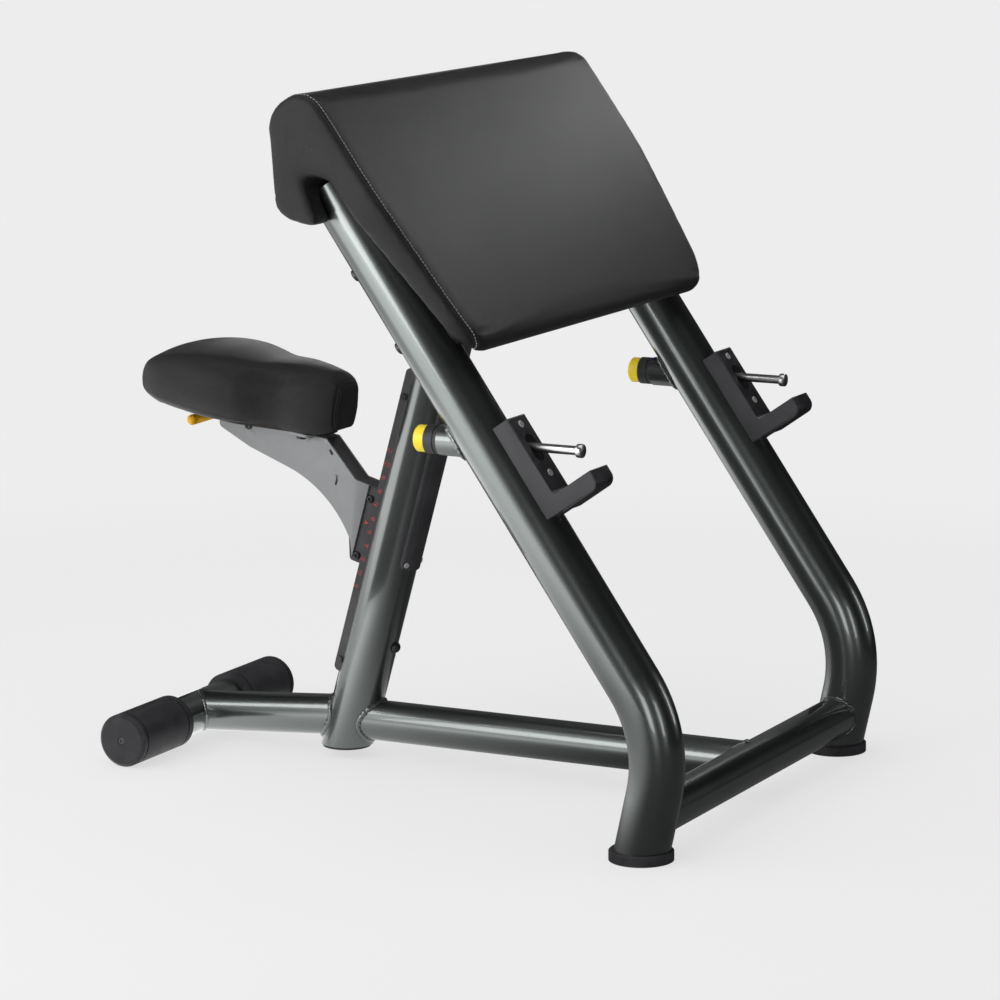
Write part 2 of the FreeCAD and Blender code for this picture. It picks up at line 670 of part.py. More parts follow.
def anchor_bolt():
    """Domed bolt through the front of the column into the rail's floor."""
    tip = column_point(0, ANCHOR_BOLT_AT, RAIL_FLOOR + RAIL_WALL - MOVING_GAP)
    face = column_point(0, ANCHOR_BOLT_AT, -LEG_R)
    crown = face - COLUMN_BACK * ANCHOR_HEAD_H
    head_r = ANCHOR_HEAD_D / 2
    shank_r = ANCHOR_BOLT_D / 2
    dome_r = (head_r ** 2 + ANCHOR_HEAD_H ** 2) / (2 * ANCHOR_HEAD_H)
    half = math.asin(head_r / dome_r) / 2
    shoulder = crown + COLUMN_BACK * (dome_r - dome_r * math.cos(half)) + X_AXIS * (dome_r * math.sin(half))
    outline = [face + X_AXIS * head_r, face + X_AXIS * shank_r, tip + X_AXIS * shank_r, tip, crown]
    edges = [Part.Arc(crown, shoulder, outline[0]).toShape()]
    edges += [Part.LineSegment(a, b).toShape() for a, b in zip(outline, outline[1:])]
    return Part.Face(Part.Wire(edges)).revolve(crown, COLUMN_BACK, 360)


def cover_outward(degrees):
    """Direction square to the column's skin, by angle from its front."""
    turn = math.radians(degrees)
    return X_AXIS * math.sin(turn) - COLUMN_BACK * math.cos(turn)


def column_cover():
    """Curved strip that hugs the front of the column, with rounded ends."""
    inner_d = LEG_TUBE_D + 2 * FIXED_GAP
    shell = column_bar(inner_d + 2 * COVER_T).cut(column_bar(inner_d))
    half = (inner_d / 2 + COVER_T) * math.sin(math.radians(COVER_SPAN))
    deep = COLUMN_BACK * -LEG_TUBE_D
    places = ((-half, COVER_BOTTOM), (half, COVER_BOTTOM), (half, COVER_TOP), (-half, COVER_TOP))
    window = slab([(column_point(x, along, 0), COVER_END_R) for x, along in places], deep)
    cover = shell.common(window)
    for start, outward in cover_screw_places():
        cover = cover.cut(rod(start, start + outward * LEG_R, COVER_SCREW_D + 2 * SHAFT_GAP))
    return cover


def cover_screw_places():
    """Start of each screw inside the column's skin, and its outward direction."""
    places = []
    for along in (COVER_BOTTOM + COVER_SCREW_INSET, COVER_TOP - COVER_SCREW_INSET):
        for sign in SIDES.values():
            outward = cover_outward(sign * COVER_SCREW_ANGLE)
            places.append((column_point(0, along, 0) + outward * (LEG_R - LEG_TUBE_WALL), outward))
    return places


def cover_screws():
    """Short screws through the cover into the column's wall."""
    screws = []
    for start, outward in cover_screw_places():
        seat = start + outward * (LEG_TUBE_WALL + FIXED_GAP + COVER_T)
        head = rod(seat, seat + outward * COVER_SCREW_HEAD_H, COVER_SCREW_HEAD_D)
        screws.append(head.fuse(rod(start, seat, COVER_SCREW_D)))
    return joined(screws)


def pad_profile(x):
    """Side outline of the arm pad: nose, crowned arm surface, rear roll and notch."""
    middle = (PAD_BOTTOM + PAD_TOP) / 2
    crown_r = PAD_CROWN_SHARE * (middle - PAD_BOTTOM) ** 2 / PAD_CROWN
    points = (
        (PAD_BOTTOM, FOAM_T, PAD_NOSE_UNDER_R),
        (PAD_BOTTOM, PAD_CROWN / 2, PAD_NOSE_R - PAD_NOSE_UNDER_R),
        (middle, -PAD_CROWN / 2, crown_r),
        (PAD_TOP, PAD_CROWN / 2, ROLL_FRONT_R),
        (PAD_TOP, ROLL_BACK_AT, ROLL_BACK_R),
        (PAD_TOP - ROLL_HEEL_DROP, ROLL_HEEL_AT, ROLL_HEEL_R),
        (PAD_TOP - ROLL_LIP_DROP, ROLL_LIP_AT, ROLL_LIP_R),
        (NOTCH_S, NOTCH_AT, NOTCH_R),
        (PAD_TOP - NOTCH_FRONT_DROP, PAD_SKIRT_T, NOTCH_R),
    )
    return [(leg_point(x, along, ARM_FACE - depth), radius) for along, depth, radius in points]


def pad_plan():
    """Plan outline of the arm pad: straight at the roll, tapering down to round corners."""
    above = PAD_TOP + FOAM_T
    half_top = PAD_TOP_W / 2
    half_bottom = PAD_BOTTOM_W / 2
    deep = ARM_FACE - 2 * ROLL_HEEL_AT
    right = [(half_bottom, PAD_BOTTOM - PAD_CORNER_DROP, PAD_CORNER_R),
             (half_top, PAD_TOP - PAD_TAPER_DROP, PAD_TAPER_R),
             (half_top, above, 0)]
    left = [(-x, along, radius) for x, along, radius in reversed(right)]
    corners = [(leg_point(x, along, deep), radius) for x, along, radius in right + left]
    return slab(corners, LEG_OUT * (4 * ROLL_HEEL_AT))


def board_corners(grow, out):
    half = BOARD_W / 2 + grow
    places = ((-half, BOARD_BOTTOM - grow), (half, BOARD_BOTTOM - grow),
              (half, BOARD_TOP + grow), (-half, BOARD_TOP + grow))
    return [(leg_point(x, along, out), BOARD_R) for x, along in places]


def arm_pad():
    half = PAD_TOP_W / 2 + FOAM_T
    pad = slab(pad_profile(-half), X_AXIS * (2 * half)).common(pad_plan())
    rim = []
    for edge in pad.Edges:
        middle = edge.valueAt((edge.FirstParameter + edge.LastParameter) / 2) - leg_point(0, 0, 0)
        depth = ARM_FACE - middle.dot(LEG_OUT)
        along = middle.dot(LEG_UP)
        outside = depth < FOAM_T / 2 or along > NOTCH_S or depth > NOTCH_AT + ROLL_LIP_R * 2
        if outside and edge.BoundBox.XLength < PAD_BOTTOM_W / 2:
            rim.append(edge)
    pad = pad.makeFillet(PAD_EDGE_R, rim)
    pocket = slab(board_corners(FIXED_GAP, -LEG_TUBE_D), LEG_OUT * (LEG_TUBE_D + LEG_R + BOARD_T))
    pad = pad.cut(pocket)
    for sign in SIDES.values():
        pad = pad.cut(upper_leg_bar(sign * LEG_X, LEG_TUBE_D + 2 * FIXED_GAP))
    return max(pad.Solids, key=lambda solid: solid.Volume)


def pad_board():
    board = slab(board_corners(0, LEG_R), LEG_OUT * BOARD_T)
    for sign in SIDES.values():
        for along in PAD_BOLT_AT:
            start = leg_point(sign * LEG_X, along, LEG_R)
            board = board.cut(rod(start, start + LEG_OUT * PAD_BOLT_GRIP, PAD_BOLT_D + 2 * SHAFT_GAP))
    return board


def pad_bolts():
    """Bolts through the legs into the board, with their heads behind the tubes."""
    bolts = []
    for sign in SIDES.values():
        for along in PAD_BOLT_AT:
            seat = leg_point(sign * LEG_X, along, -LEG_R)
            head = rod(seat - LEG_OUT * PAD_BOLT_HEAD_H, seat, PAD_BOLT_HEAD_D)
            tip = leg_point(sign * LEG_X, along, LEG_R + PAD_BOLT_GRIP)
            bolts.append(head.fuse(rod(seat, tip, PAD_BOLT_D)))
    return joined(bolts)


def peg_slot(x, low, high, grow):
    """Oval opening in the cradle, along the rake, where the peg comes out."""
    half_w = PEG_SLOT_W / 2 + grow
    half_l = PEG_SLOT_L / 2 + grow
    corner = half_w * 0.98
    places = ((-half_w, -half_l), (half_w, -half_l), (half_w, half_l), (-half_w, half_l))
    corners = [(leg_point(x + across, PEG_EXIT + along, low), corner) for across, along in places]
    return slab(corners, LEG_OUT * (high - low))


def cradle_corners(x, points):
    return [(leg_point(x, along, out), radius) for along, out, radius in points]


def bar_cradle(side):
    """Hook with a saddle for the tube, a bar arm square to the leg and a liner pocket."""
    x = SIDES[side] * LEG_X
    low_x = x - CRADLE_W / 2
    face = LEG_R + CRADLE_FACE
    arm_top = CRADLE_BOTTOM + CRADLE_ARM_T
    arm_end = face + CRADLE_ARM_L
    outline = (
        (CRADLE_BOTTOM, LEG_R - CRADLE_WRAP, 0),
        (CRADLE_BOTTOM, arm_end, CRADLE_TIP_R),
        (arm_top, arm_end, 0),
        (arm_top, face, CRADLE_INNER_R),
        (CRADLE_TOP, face, 0),
        (CRADLE_TOP, LEG_R - CRADLE_WRAP, 0),
    )
    cradle = slab(cradle_corners(low_x, outline), X_AXIS * CRADLE_W)
    cradle = cradle.cut(upper_leg_bar(x, LEG_TUBE_D + 2 * FIXED_GAP))
    cradle = cradle.cut(slab(liner_corners(x, face - LINER_T, 0), LEG_OUT * (2 * LINER_T)))
    cradle = cradle.cut(peg_slot(x, 0, 2 * face, 0))
    for along in CRADLE_SCREW_AT:
        cradle = cradle.cut(rod(leg_point(x, along, 0), leg_point(x, along, face),
                                CRADLE_SCREW_D + 2 * SHAFT_GAP))
    return cradle


def liner_corners(x, out, shrink):
    half = CRADLE_W / 2 - LINER_RIM - shrink
    low = CRADLE_BOTTOM + CRADLE_ARM_T + CRADLE_INNER_R + shrink
    high = CRADLE_TOP - LINER_RIM - shrink
    places = ((-half, low), (half, low), (half, high), (-half, high))
    return [(leg_point(x + across, along, out), LINER_R) for across, along in places]


def cradle_liner(side):
    x = SIDES[side] * LEG_X
    face = LEG_R + CRADLE_FACE
    liner = slab(liner_corners(x, face - LINER_T, FIXED_GAP), LEG_OUT * LINER_T)
    liner = liner.cut(peg_slot(x, 0, 2 * face, 0))
    for along in CRADLE_SCREW_AT:
        liner = liner.cut(rod(leg_point(x, along, 0), leg_point(x, along, 2 * face),
                              CRADLE_SCREW_D + 2 * SHAFT_GAP))
    return liner


def cradle_tip(side):
    """Rubber shoe that wraps the end and the underside of the cradle's arm."""
    x = SIDES[side] * LEG_X
    face = LEG_R + CRADLE_FACE
    arm_top = CRADLE_BOTTOM + CRADLE_ARM_T
    arm_end = face + CRADLE_ARM_L
    tip_end = arm_end + CRADLE_TIP_L
    outline = (
        (CRADLE_BOTTOM, face, 0),
        (CRADLE_BOTTOM - CRADLE_TIP_T, face, 0),
        (CRADLE_BOTTOM - CRADLE_TIP_T, tip_end, CRADLE_TIP_R + CRADLE_TIP_T),
        (arm_top, tip_end, CRADLE_TIP_TOP_R),
        (arm_top, arm_end, 0),
        (CRADLE_BOTTOM, arm_end, CRADLE_TIP_R),
    )
    return slab(cradle_corners(x - CRADLE_W / 2, outline), X_AXIS * CRADLE_W)


def cradle_screws():
    face = LEG_R + CRADLE_FACE
    screws = []
    for sign in SIDES.values():
        for along in CRADLE_SCREW_AT:
            seat = leg_point(sign * LEG_X, along, face)
            head = rod(seat, seat + LEG_OUT * CRADLE_SCREW_HEAD_H, CRADLE_SCREW_HEAD_D)
            screws.append(head.fuse(rod(seat - LEG_OUT * CRADLE_SCREW_L, seat, CRADLE_SCREW_D)))
    return joined(screws)


def peg_point(side, y):
    return vec(SIDES[side] * LEG_X, y, PEG_Z)


def peg_stub(side):
    """Short tube welded to the back of the leg, which carries the peg's bush."""
    start = peg_point(side, PEG_LEG_Y)
    end = peg_point(side, STUB_END)
    stub = rod(start, end, STUB_D).cut(rod(start, end, STUB_D - 2 * STUB_WALL))
    stub = stub.cut(LEG_BARS[side])
    return max(stub.Solids, key=lambda solid: solid.Volume)


def peg_bush(side):
    inner = STUB_END - BUSH_SPIGOT_L
    bush = rod(peg_point(side, STUB_END), peg_point(side, BUSH_END), BUSH_D)
    spigot_d = STUB_D - 2 * STUB_WALL - 2 * FIXED_GAP
    bush = bush.fuse(rod(peg_point(side, inner), peg_point(side, STUB_END), spigot_d))
    groove = STUB_END + BUSH_GROOVE_AT
    ring = rod(peg_point(side, groove), peg_point(side, groove + BUSH_GROOVE_W), 2 * BUSH_D)
    ring = ring.cut(rod(peg_point(side, groove), peg_point(side, groove + BUSH_GROOVE_W),
                        BUSH_D - 2 * BUSH_GROOVE_DEPTH))
    bore = rod(peg_point(side, inner), peg_point(side, BUSH_END), PEG_D + 2 * SHAFT_GAP)
    return bush.cut(ring).cut(bore)


def peg_pin(side):
    shank = rod(peg_point(side, PEG_TIP), peg_point(side, KNOB_FRONT + KNOB_SOCKET_L), PEG_D)
    head = rod(peg_point(side, PEG_TIP), peg_point(side, PEG_TIP + PEG_HEAD_H), PEG_HEAD_D)
    return shank.fuse(head)


def peg_knob(side):
    knob = rod(peg_point(side, KNOB_FRONT), peg_point(side, KNOB_END), KNOB_D)
    knob = bevelled(knob, KNOB_BEVEL, lambda edge: edge.Curve.Center.y > KNOB_FRONT + KNOB_L / 2)
    socket = rod(peg_point(side, KNOB_FRONT), peg_point(side, KNOB_FRONT + KNOB_SOCKET_L),
                 PEG_D + 2 * SHAFT_GAP)
    return knob.cut(socket)


def mount_plane_up():
    """Height of the side plates' top edge, measured square to the seat plane."""
    return -MOUNT_PLATE_T


def plate_wire(x):
    """Side plate: straight front, kinked top, seat edge, tail and a curved belly."""
    foot = column_point(x, RUNNER_BOTTOM + PLATE_FOOT, PLATE_FRONT)
    corner = column_point(x, RUNNER_TOP, PLATE_FRONT)
    kink = column_point(x, RUNNER_TOP, PLATE_FRONT + KINK_BACK)
    strip_top = seat_point(x, STRIP_TOP_BACK, mount_plane_up())
    tail_top = seat_point(x, TAIL_TIP_BACK - TAIL_TIP_R, mount_plane_up())
    tip = carriage_point(x, TAIL_TIP_BACK, TAIL_TIP_UP)
    tail_low = carriage_point(x, BELLY_TAIL[0], BELLY_TAIL[1])
    belly_back = carriage_point(x, BELLY_BACK[0], BELLY_BACK[1])
    belly_mid = carriage_point(x, BELLY_MID[0], BELLY_MID[1])
    belly_low = carriage_point(x, BELLY_LOW[0], BELLY_LOW[1])
    runs = [foot, corner, kink, strip_top, tail_top, tip, tail_low, belly_back]
    edges = [Part.LineSegment(a, b).toShape() for a, b in zip(runs, runs[1:])]
    edges.append(Part.Arc(belly_back, belly_mid, belly_low).toShape())
    edges.append(Part.LineSegment(belly_low, foot).toShape())
    return Part.Wire(edges)


def side_plate(side):
    sign = SIDES[side]
    x = sign * PLATE_INSIDE
    plate = Part.Face(plate_wire(x)).extrude(X_AXIS * (sign * PLATE_T))
    tail = [edge for edge in plate.Edges if edge.BoundBox.YLength < 1e-6 and edge.BoundBox.ZLength < 1e-6
            and edge.CenterOfMass.y > carriage_point(0, BELLY_TAIL[0], 0).y]
    plate = plate.makeFillet(TAIL_TIP_R, [max(tail, key=lambda edge: edge.CenterOfMass.y)])
    slot = block(carriage_point(x, TAB_SLOT_AT[0], TAB_SLOT_AT[1]), (X_AXIS, COLUMN_BACK, COLUMN_UP),
                 (4 * PLATE_T, TAB_SLOT_W, TAB_SLOT_L))
    lean = math.radians(STRIP_SLOT_LEAN)
    along_strip = vec(0, math.sin(lean), math.cos(lean))
    strip_slot = block(carriage_point(x, STRIP_SLOT_AT[0], STRIP_SLOT_AT[1]),
                       (X_AXIS, along_strip.cross(X_AXIS), along_strip), (4 * PLATE_T, STRIP_SLOT_W, STRIP_SLOT_L))
    pivot = lever_pivot(x)
    reach = X_AXIS * (2 * PLATE_T)
    return plate.cut(slot).cut(strip_slot).cut(rod(pivot - reach, pivot + reach, LEVER_PIVOT_D + 2 * SHAFT_GAP))


def lever_pivot(x):
    return carriage_point(x, LEVER_PIVOT_BACK, LEVER_PIVOT_UP)


def follower(side):
    """Black plate inside a side plate, reaching forward to the rail."""
    sign = SIDES[side]
    x = sign * FOLLOWER_INSIDE
    back = RUNNER_FRONT + FOLLOWER_BACK
    places = ((RUNNER_BOTTOM, RUNNER_FRONT, FOLLOWER_R),
              (RUNNER_TOP - STRIP_T, RUNNER_FRONT, FOLLOWER_R),
              (RUNNER_TOP - STRIP_T, back, 0),
              (RUNNER_BOTTOM + 2 * FOLLOWER_BACK, back, FOLLOWER_R),
              (RUNNER_BOTTOM, RUNNER_FRONT + GLIDE_BACK, FOLLOWER_R))
    corners = [(column_point(x, along, out), radius) for along, out, radius in places]
    plate = slab(corners, X_AXIS * (sign * FOLLOWER_T))
    for middle in glide_bolt_places():
        reach = X_AXIS * CARRIAGE_W
        plate = plate.cut(rod(middle - reach, middle + reach, GLIDE_BOLT_D + 2 * SHAFT_GAP))
    return plate


def glide_places():
    """Middle of each glide along the column."""
    return {"lower_glide": RUNNER_BOTTOM + LOWER_GLIDE_INSET,
            "upper_glide": RUNNER_TOP - UPPER_GLIDE_INSET}


def glide_bolt_places():
    return [column_point(0, along, RAIL_REAR + GLIDE_BOLT_OUT) for along in glide_places().values()]


def glide(name):
    """Plastic shoe inside the rail, with a neck that comes out of the slot."""
    along = glide_places()[name]
    axes = (X_AXIS, COLUMN_UP, COLUMN_BACK)
    head_depth = RAIL_DEPTH - 2 * RAIL_WALL - 2 * MOVING_GAP
    head_at = column_point(0, along, RAIL_FLOOR + RAIL_DEPTH / 2)
    head = block(head_at, axes, (RAIL_W - 2 * RAIL_WALL - 2 * MOVING_GAP, GLIDE_L, head_depth))
    neck_end = RUNNER_FRONT + GLIDE_BACK
    neck_start = RAIL_FLOOR + RAIL_DEPTH / 2
    neck_at = column_point(0, along, (neck_start + neck_end) / 2)
    neck_l = GLIDE_L / 2
    neck = block(neck_at, axes, (RAIL_SLOT_W - 2 * GLIDE_NECK_GAP, neck_l, neck_end - neck_start))
    cheek_at = column_point(0, along, (RUNNER_FRONT + neck_end) / 2)
    cheek = block(cheek_at, axes, (2 * FOLLOWER_INSIDE, neck_l, neck_end - RUNNER_FRONT))
    shoe = head.fuse(neck).fuse(cheek)
    middle = column_point(0, along, RAIL_REAR + GLIDE_BOLT_OUT)
    reach = X_AXIS * RAIL_W
    return shoe.cut(rod(middle - reach, middle + reach, GLIDE_BOLT_D + 2 * SHAFT_GAP))


def glide_bolts():
    bolts = []
    for middle in glide_bolt_places():
        half = X_AXIS * PLATE_INSIDE
        bolt = rod(middle - half, middle + half, GLIDE_BOLT_D)
        for sign in SIDES.values():
            face = middle + half * sign
            head = rod(face, face + X_AXIS * (sign * GLIDE_BOLT_HEAD_H), GLIDE_BOLT_HEAD_D)
            bolt = bolt.fuse(head)
        bolts.append(bolt)
    return joined(bolts)


def top_strip():
    """Bent strip that closes the top of the gap between the side plates."""
    x = -PLATE_INSIDE
    start = column_point(x, RUNNER_TOP, RUNNER_FRONT)
    kink = column_point(x, RUNNER_TOP, PLATE_FRONT + KINK_BACK)
    end = seat_point(x, STRIP_TOP_BACK, mount_plane_up())
    run = (end - kink).normalize()
    under = vec(0, run.z, -run.y)
    half_turn = math.atan2(run.z, run.y) / 2 + LEAN / -2
    inner_kink = kink - COLUMN_UP * STRIP_T + COLUMN_BACK * (STRIP_T * math.tan(half_turn))
    inner_end = end + under * STRIP_T
    corners = [(start, 0), (kink, 0), (end, 0), (inner_end, 0), (inner_kink, 0),
               (start - COLUMN_UP * STRIP_T, 0)]
    return slab(corners, X_AXIS * INNER_W)


def seat_board_corners(grow, up):
    nose = SEAT_BOARD_NOSE_W / 2 + grow
    rear = SEAT_BOARD_REAR_W / 2 + grow
    front = SEAT_BOARD_FRONT - grow
    back = SEAT_BOARD_REAR + grow
    places = ((-nose, front), (nose, front), (rear, (front + 2 * back) / 3), (rear, back),
              (-rear, back), (-rear, (front + 2 * back) / 3))
    return [(seat_point(x, behind, up), SEAT_BOARD_R) for x, behind in places]


def seat_bolt_places():
    half = SEAT_BOLT_ACROSS / 2
    return [(sign * half, back) for sign in SIDES.values() for back in SEAT_BOLT_AT]


def seat_board():
    board = slab(seat_board_corners(0, 0), SEAT_UPWARD * SEAT_BOARD_T)
    for x, back in seat_bolt_places():
        start = seat_point(x, back, 0)
        board = board.cut(rod(start, start + SEAT_UPWARD * SEAT_BOLT_GRIP, SEAT_BOLT_D + 2 * SHAFT_GAP))
    return board


def mount_plate():
    """Plate under the seat board, slotted at the back to clear the lever."""
    half = MOUNT_PLATE_W / 2
    places = ((-half, MOUNT_PLATE_FRONT), (half, MOUNT_PLATE_FRONT),
              (half, MOUNT_PLATE_REAR), (-half, MOUNT_PLATE_REAR))
    corners = [(seat_point(x, back, -MOUNT_PLATE_T), MOUNT_PLATE_R) for x, back in places]
    plate = slab(corners, SEAT_UPWARD * MOUNT_PLATE_T)
    slot_l = 2 * (MOUNT_PLATE_REAR - MOUNT_SLOT_FRONT)
    plate = plate.cut(block(seat_point(0, MOUNT_PLATE_REAR, 0), (X_AXIS, SEAT_BACK, SEAT_UPWARD),
                            (MOUNT_SLOT_W, slot_l, 4 * MOUNT_PLATE_T)))
    for x, back in seat_bolt_places():
        start = seat_point(x, back, -2 * MOUNT_PLATE_T)
        plate = plate.cut(rod(start, start + SEAT_UPWARD * (4 * MOUNT_PLATE_T), SEAT_BOLT_D + 2 * SHAFT_GAP))
    return plate


def seat_bolts():
    bolts = []
    for x, back in seat_bolt_places():
        face = seat_point(x, back, -MOUNT_PLATE_T)
        head = rod(face - SEAT_UPWARD * SEAT_BOLT_HEAD_H, face, SEAT_BOLT_HEAD_D)
        tip = face + SEAT_UPWARD * (MOUNT_PLATE_T + SEAT_BOLT_GRIP)
        bolts.append(head.fuse(rod(face, tip, SEAT_BOLT_D)))
    return joined(bolts)


def seat_section(back, half, low, high):
    """Cross-section of the seat: flat underside, swelling sides and a crowned top."""
    tuck = half * SEAT_TUCK
    shoulder = half * SEAT_SHOULDER
    middle_up = low + (high - low) * SEAT_BULGE
    edge_up = high - (high - low) * SEAT_CROWN
    bottom = [seat_point(-tuck, back, low), seat_point(tuck, back, low)]
    sides = [seat_point(half, back, middle_up), seat_point(-half, back, middle_up)]
    tops = [seat_point(shoulder, back, edge_up), seat_point(-shoulder, back, edge_up)]
    return Part.Wire([
        Part.LineSegment(bottom[0], bottom[1]).toShape(),
        Part.Arc(bottom[1], sides[0], tops[0]).toShape(),
        Part.Arc(tops[0], seat_point(0, back, high), tops[1]).toShape(),
        Part.Arc(tops[1], sides[1], bottom[0]).toShape(),
    ])


def seat_cushion():
    """Saddle: narrow square nose, wide rear, lofted through its cross-sections."""
    cushion = Part.makeLoft([seat_section(*station) for station in SEAT_STATIONS], True, False)
    pocket_depth = 5 * SEAT_BOARD_T + FIXED_GAP
    pocket = slab(seat_board_corners(FIXED_GAP, -4 * SEAT_BOARD_T), SEAT_UPWARD * pocket_depth)
    cushion = cushion.cut(pocket)
    return max(cushion.Solids, key=lambda solid: solid.Volume)


def lever_pivot_bolt():
    """Bolt through both side plates, with a round head on the left and a nut on the right."""
    left = lever_pivot(-PLATE_OUTSIDE)
    right = lever_pivot(PLATE_OUTSIDE)
    head = rod(left - X_AXIS * LEVER_HEAD_H, left, LEVER_HEAD_D)
    nut = rod(right, right + X_AXIS * LEVER_HEAD_H, LEVER_NUT_D)
    return head.fuse(rod(left, right, LEVER_PIVOT_D)).fuse(nut)


def crank_pin_at(x):
    return lever_pivot(x) - PULL_UPWARD * LEVER_CRANK


def grip_start():
    return lever_pivot(0) + Y_AXIS * LEVER_REACH + Z_AXIS * LEVER_RISE


def lever_arm():
    """Flat crank on the pivot: a tail to the grip and a short arm with the crank pin."""
    half_t = X_AXIS * (LEVER_T / 2)
    pivot = lever_pivot(0)
    crank = crank_pin_at(0)
    grip = grip_start()
    boss = rod(pivot - half_t, pivot + half_t, LEVER_BOSS_D)
    tail_run = (grip - pivot).normalize()
    tail_side = vec(0, -tail_run.z, tail_run.y)
    tail_l = (grip - pivot).Length
    tail = block(pivot + tail_run * (tail_l / 2), (X_AXIS, tail_run, tail_side),
                 (LEVER_T, tail_l, LEVER_ARM_H))
    arm = block(pivot - PULL_UPWARD * (LEVER_CRANK / 2), (X_AXIS, PULL_UPWARD, PULL_BACK),
                (LEVER_T, LEVER_CRANK, CRANK_ARM_W))
    arm_end = rod(crank - half_t, crank + half_t, CRANK_ARM_W)
    pin_reach = X_AXIS * (PULL_BAR_T + 2 * PULL_EYE_GAP + LEVER_T / 2)
    pin = rod(crank, crank + pin_reach, CRANK_PIN_D)
    lever = boss.fuse(tail).fuse(arm).fuse(arm_end).fuse(pin)
    reach = X_AXIS * CARRIAGE_W
    lever = lever.cut(rod(pivot - reach, pivot + reach, LEVER_PIVOT_D + 2 * SHAFT_GAP))
    return lever.cut(grip_bar(2 * FIXED_GAP))


def grip_bar(grow):
    start = grip_start() + X_AXIS * (GRIP_D / 2)
    end = grip_start() - X_AXIS * GRIP_OUT + Y_AXIS * GRIP_BACK
    run = end - start
    return Part.makeCone((GRIP_D + grow) / 2, (GRIP_END_D + grow) / 2, run.Length, start, run)


def lever_grip():
    """Moulded grip, a tapered bar across the tail of the lever with a rounded end."""
    bar = grip_bar(0)
    end = grip_start() - X_AXIS * GRIP_OUT + Y_AXIS * GRIP_BACK
    return bar.fuse(Part.makeSphere(GRIP_END_D / 2, end))


def pull_x():
    """The pull bar runs beside the lever, on the crank pin."""
    return LEVER_T / 2 + PULL_EYE_GAP + PULL_BAR_T / 2


def brake_centre():
    """Where the pull bar's line meets the middle of the brake pad."""
    crank = crank_pin_at(0) - vec(0, COLUMN_Y, 0)
    back = crank.dot(COLUMN_BACK)
    along = crank.dot(COLUMN_UP)
    target = RAIL_REAR + MOVING_GAP + BRAKE_T / 2
    step = (back - target) / PULL_BACK.dot(COLUMN_BACK)
    return along - step * PULL_BACK.dot(COLUMN_UP), target


def pull_bar():
    """Bar from the brake pad to the crank pin, which rides up in its eye as the bar draws level."""
    along, back = brake_centre()
    front = column_point(pull_x(), along, back + BRAKE_T / 2)
    crank = crank_pin_at(pull_x())
    run = crank - front
    centre = front + run * 0.5
    bar = block(centre, (X_AXIS, PULL_BACK, PULL_UPWARD), (PULL_BAR_T, run.Length, PULL_BAR_H))
    half_t = X_AXIS * (PULL_BAR_T / 2)
    bar = bar.fuse(rod(crank - half_t, crank + half_t, PULL_EYE_D))
    trim = block(column_point(pull_x(), along, 0), (X_AXIS, COLUMN_UP, COLUMN_BACK),
                 (4 * PULL_BAR_T, 4 * BRAKE_L, 2 * (back + BRAKE_T / 2)))
    bar = bar.cut(trim)
    reach = X_AXIS * CARRIAGE_W
    hole_d = CRANK_PIN_D + 2 * PULL_EYE_GAP
    rise = Z_AXIS * PULL_EYE_RISE
    bar = bar.cut(rod(crank - reach, crank + reach, hole_d))
    bar = bar.cut(rod(crank + rise - reach, crank + rise + reach, hole_d))
    return bar.cut(block(crank + rise * 0.5, (X_AXIS, Y_AXIS, Z_AXIS), (2 * CARRIAGE_W, hole_d, PULL_EYE_RISE)))


def brake_pad():
    along, back = brake_centre()
    return block(column_point(0, along, back), (X_AXIS, COLUMN_UP, COLUMN_BACK), (BRAKE_W, BRAKE_L, BRAKE_T))


def seat_pointer():
    """Small arrow on the left follower that points at the scale on the rail."""
    x = -PLATE_INSIDE
    tip = column_point(x, POINTER_AT, RUNNER_FRONT + FOLLOWER_R / 2)
    base = tip + COLUMN_BACK * POINTER_L
    half = COLUMN_UP * (POINTER_L / 2)
    return slab([(tip, 0), (base + half, 0), (base - half, 0)], X_AXIS * -POINTER_T)


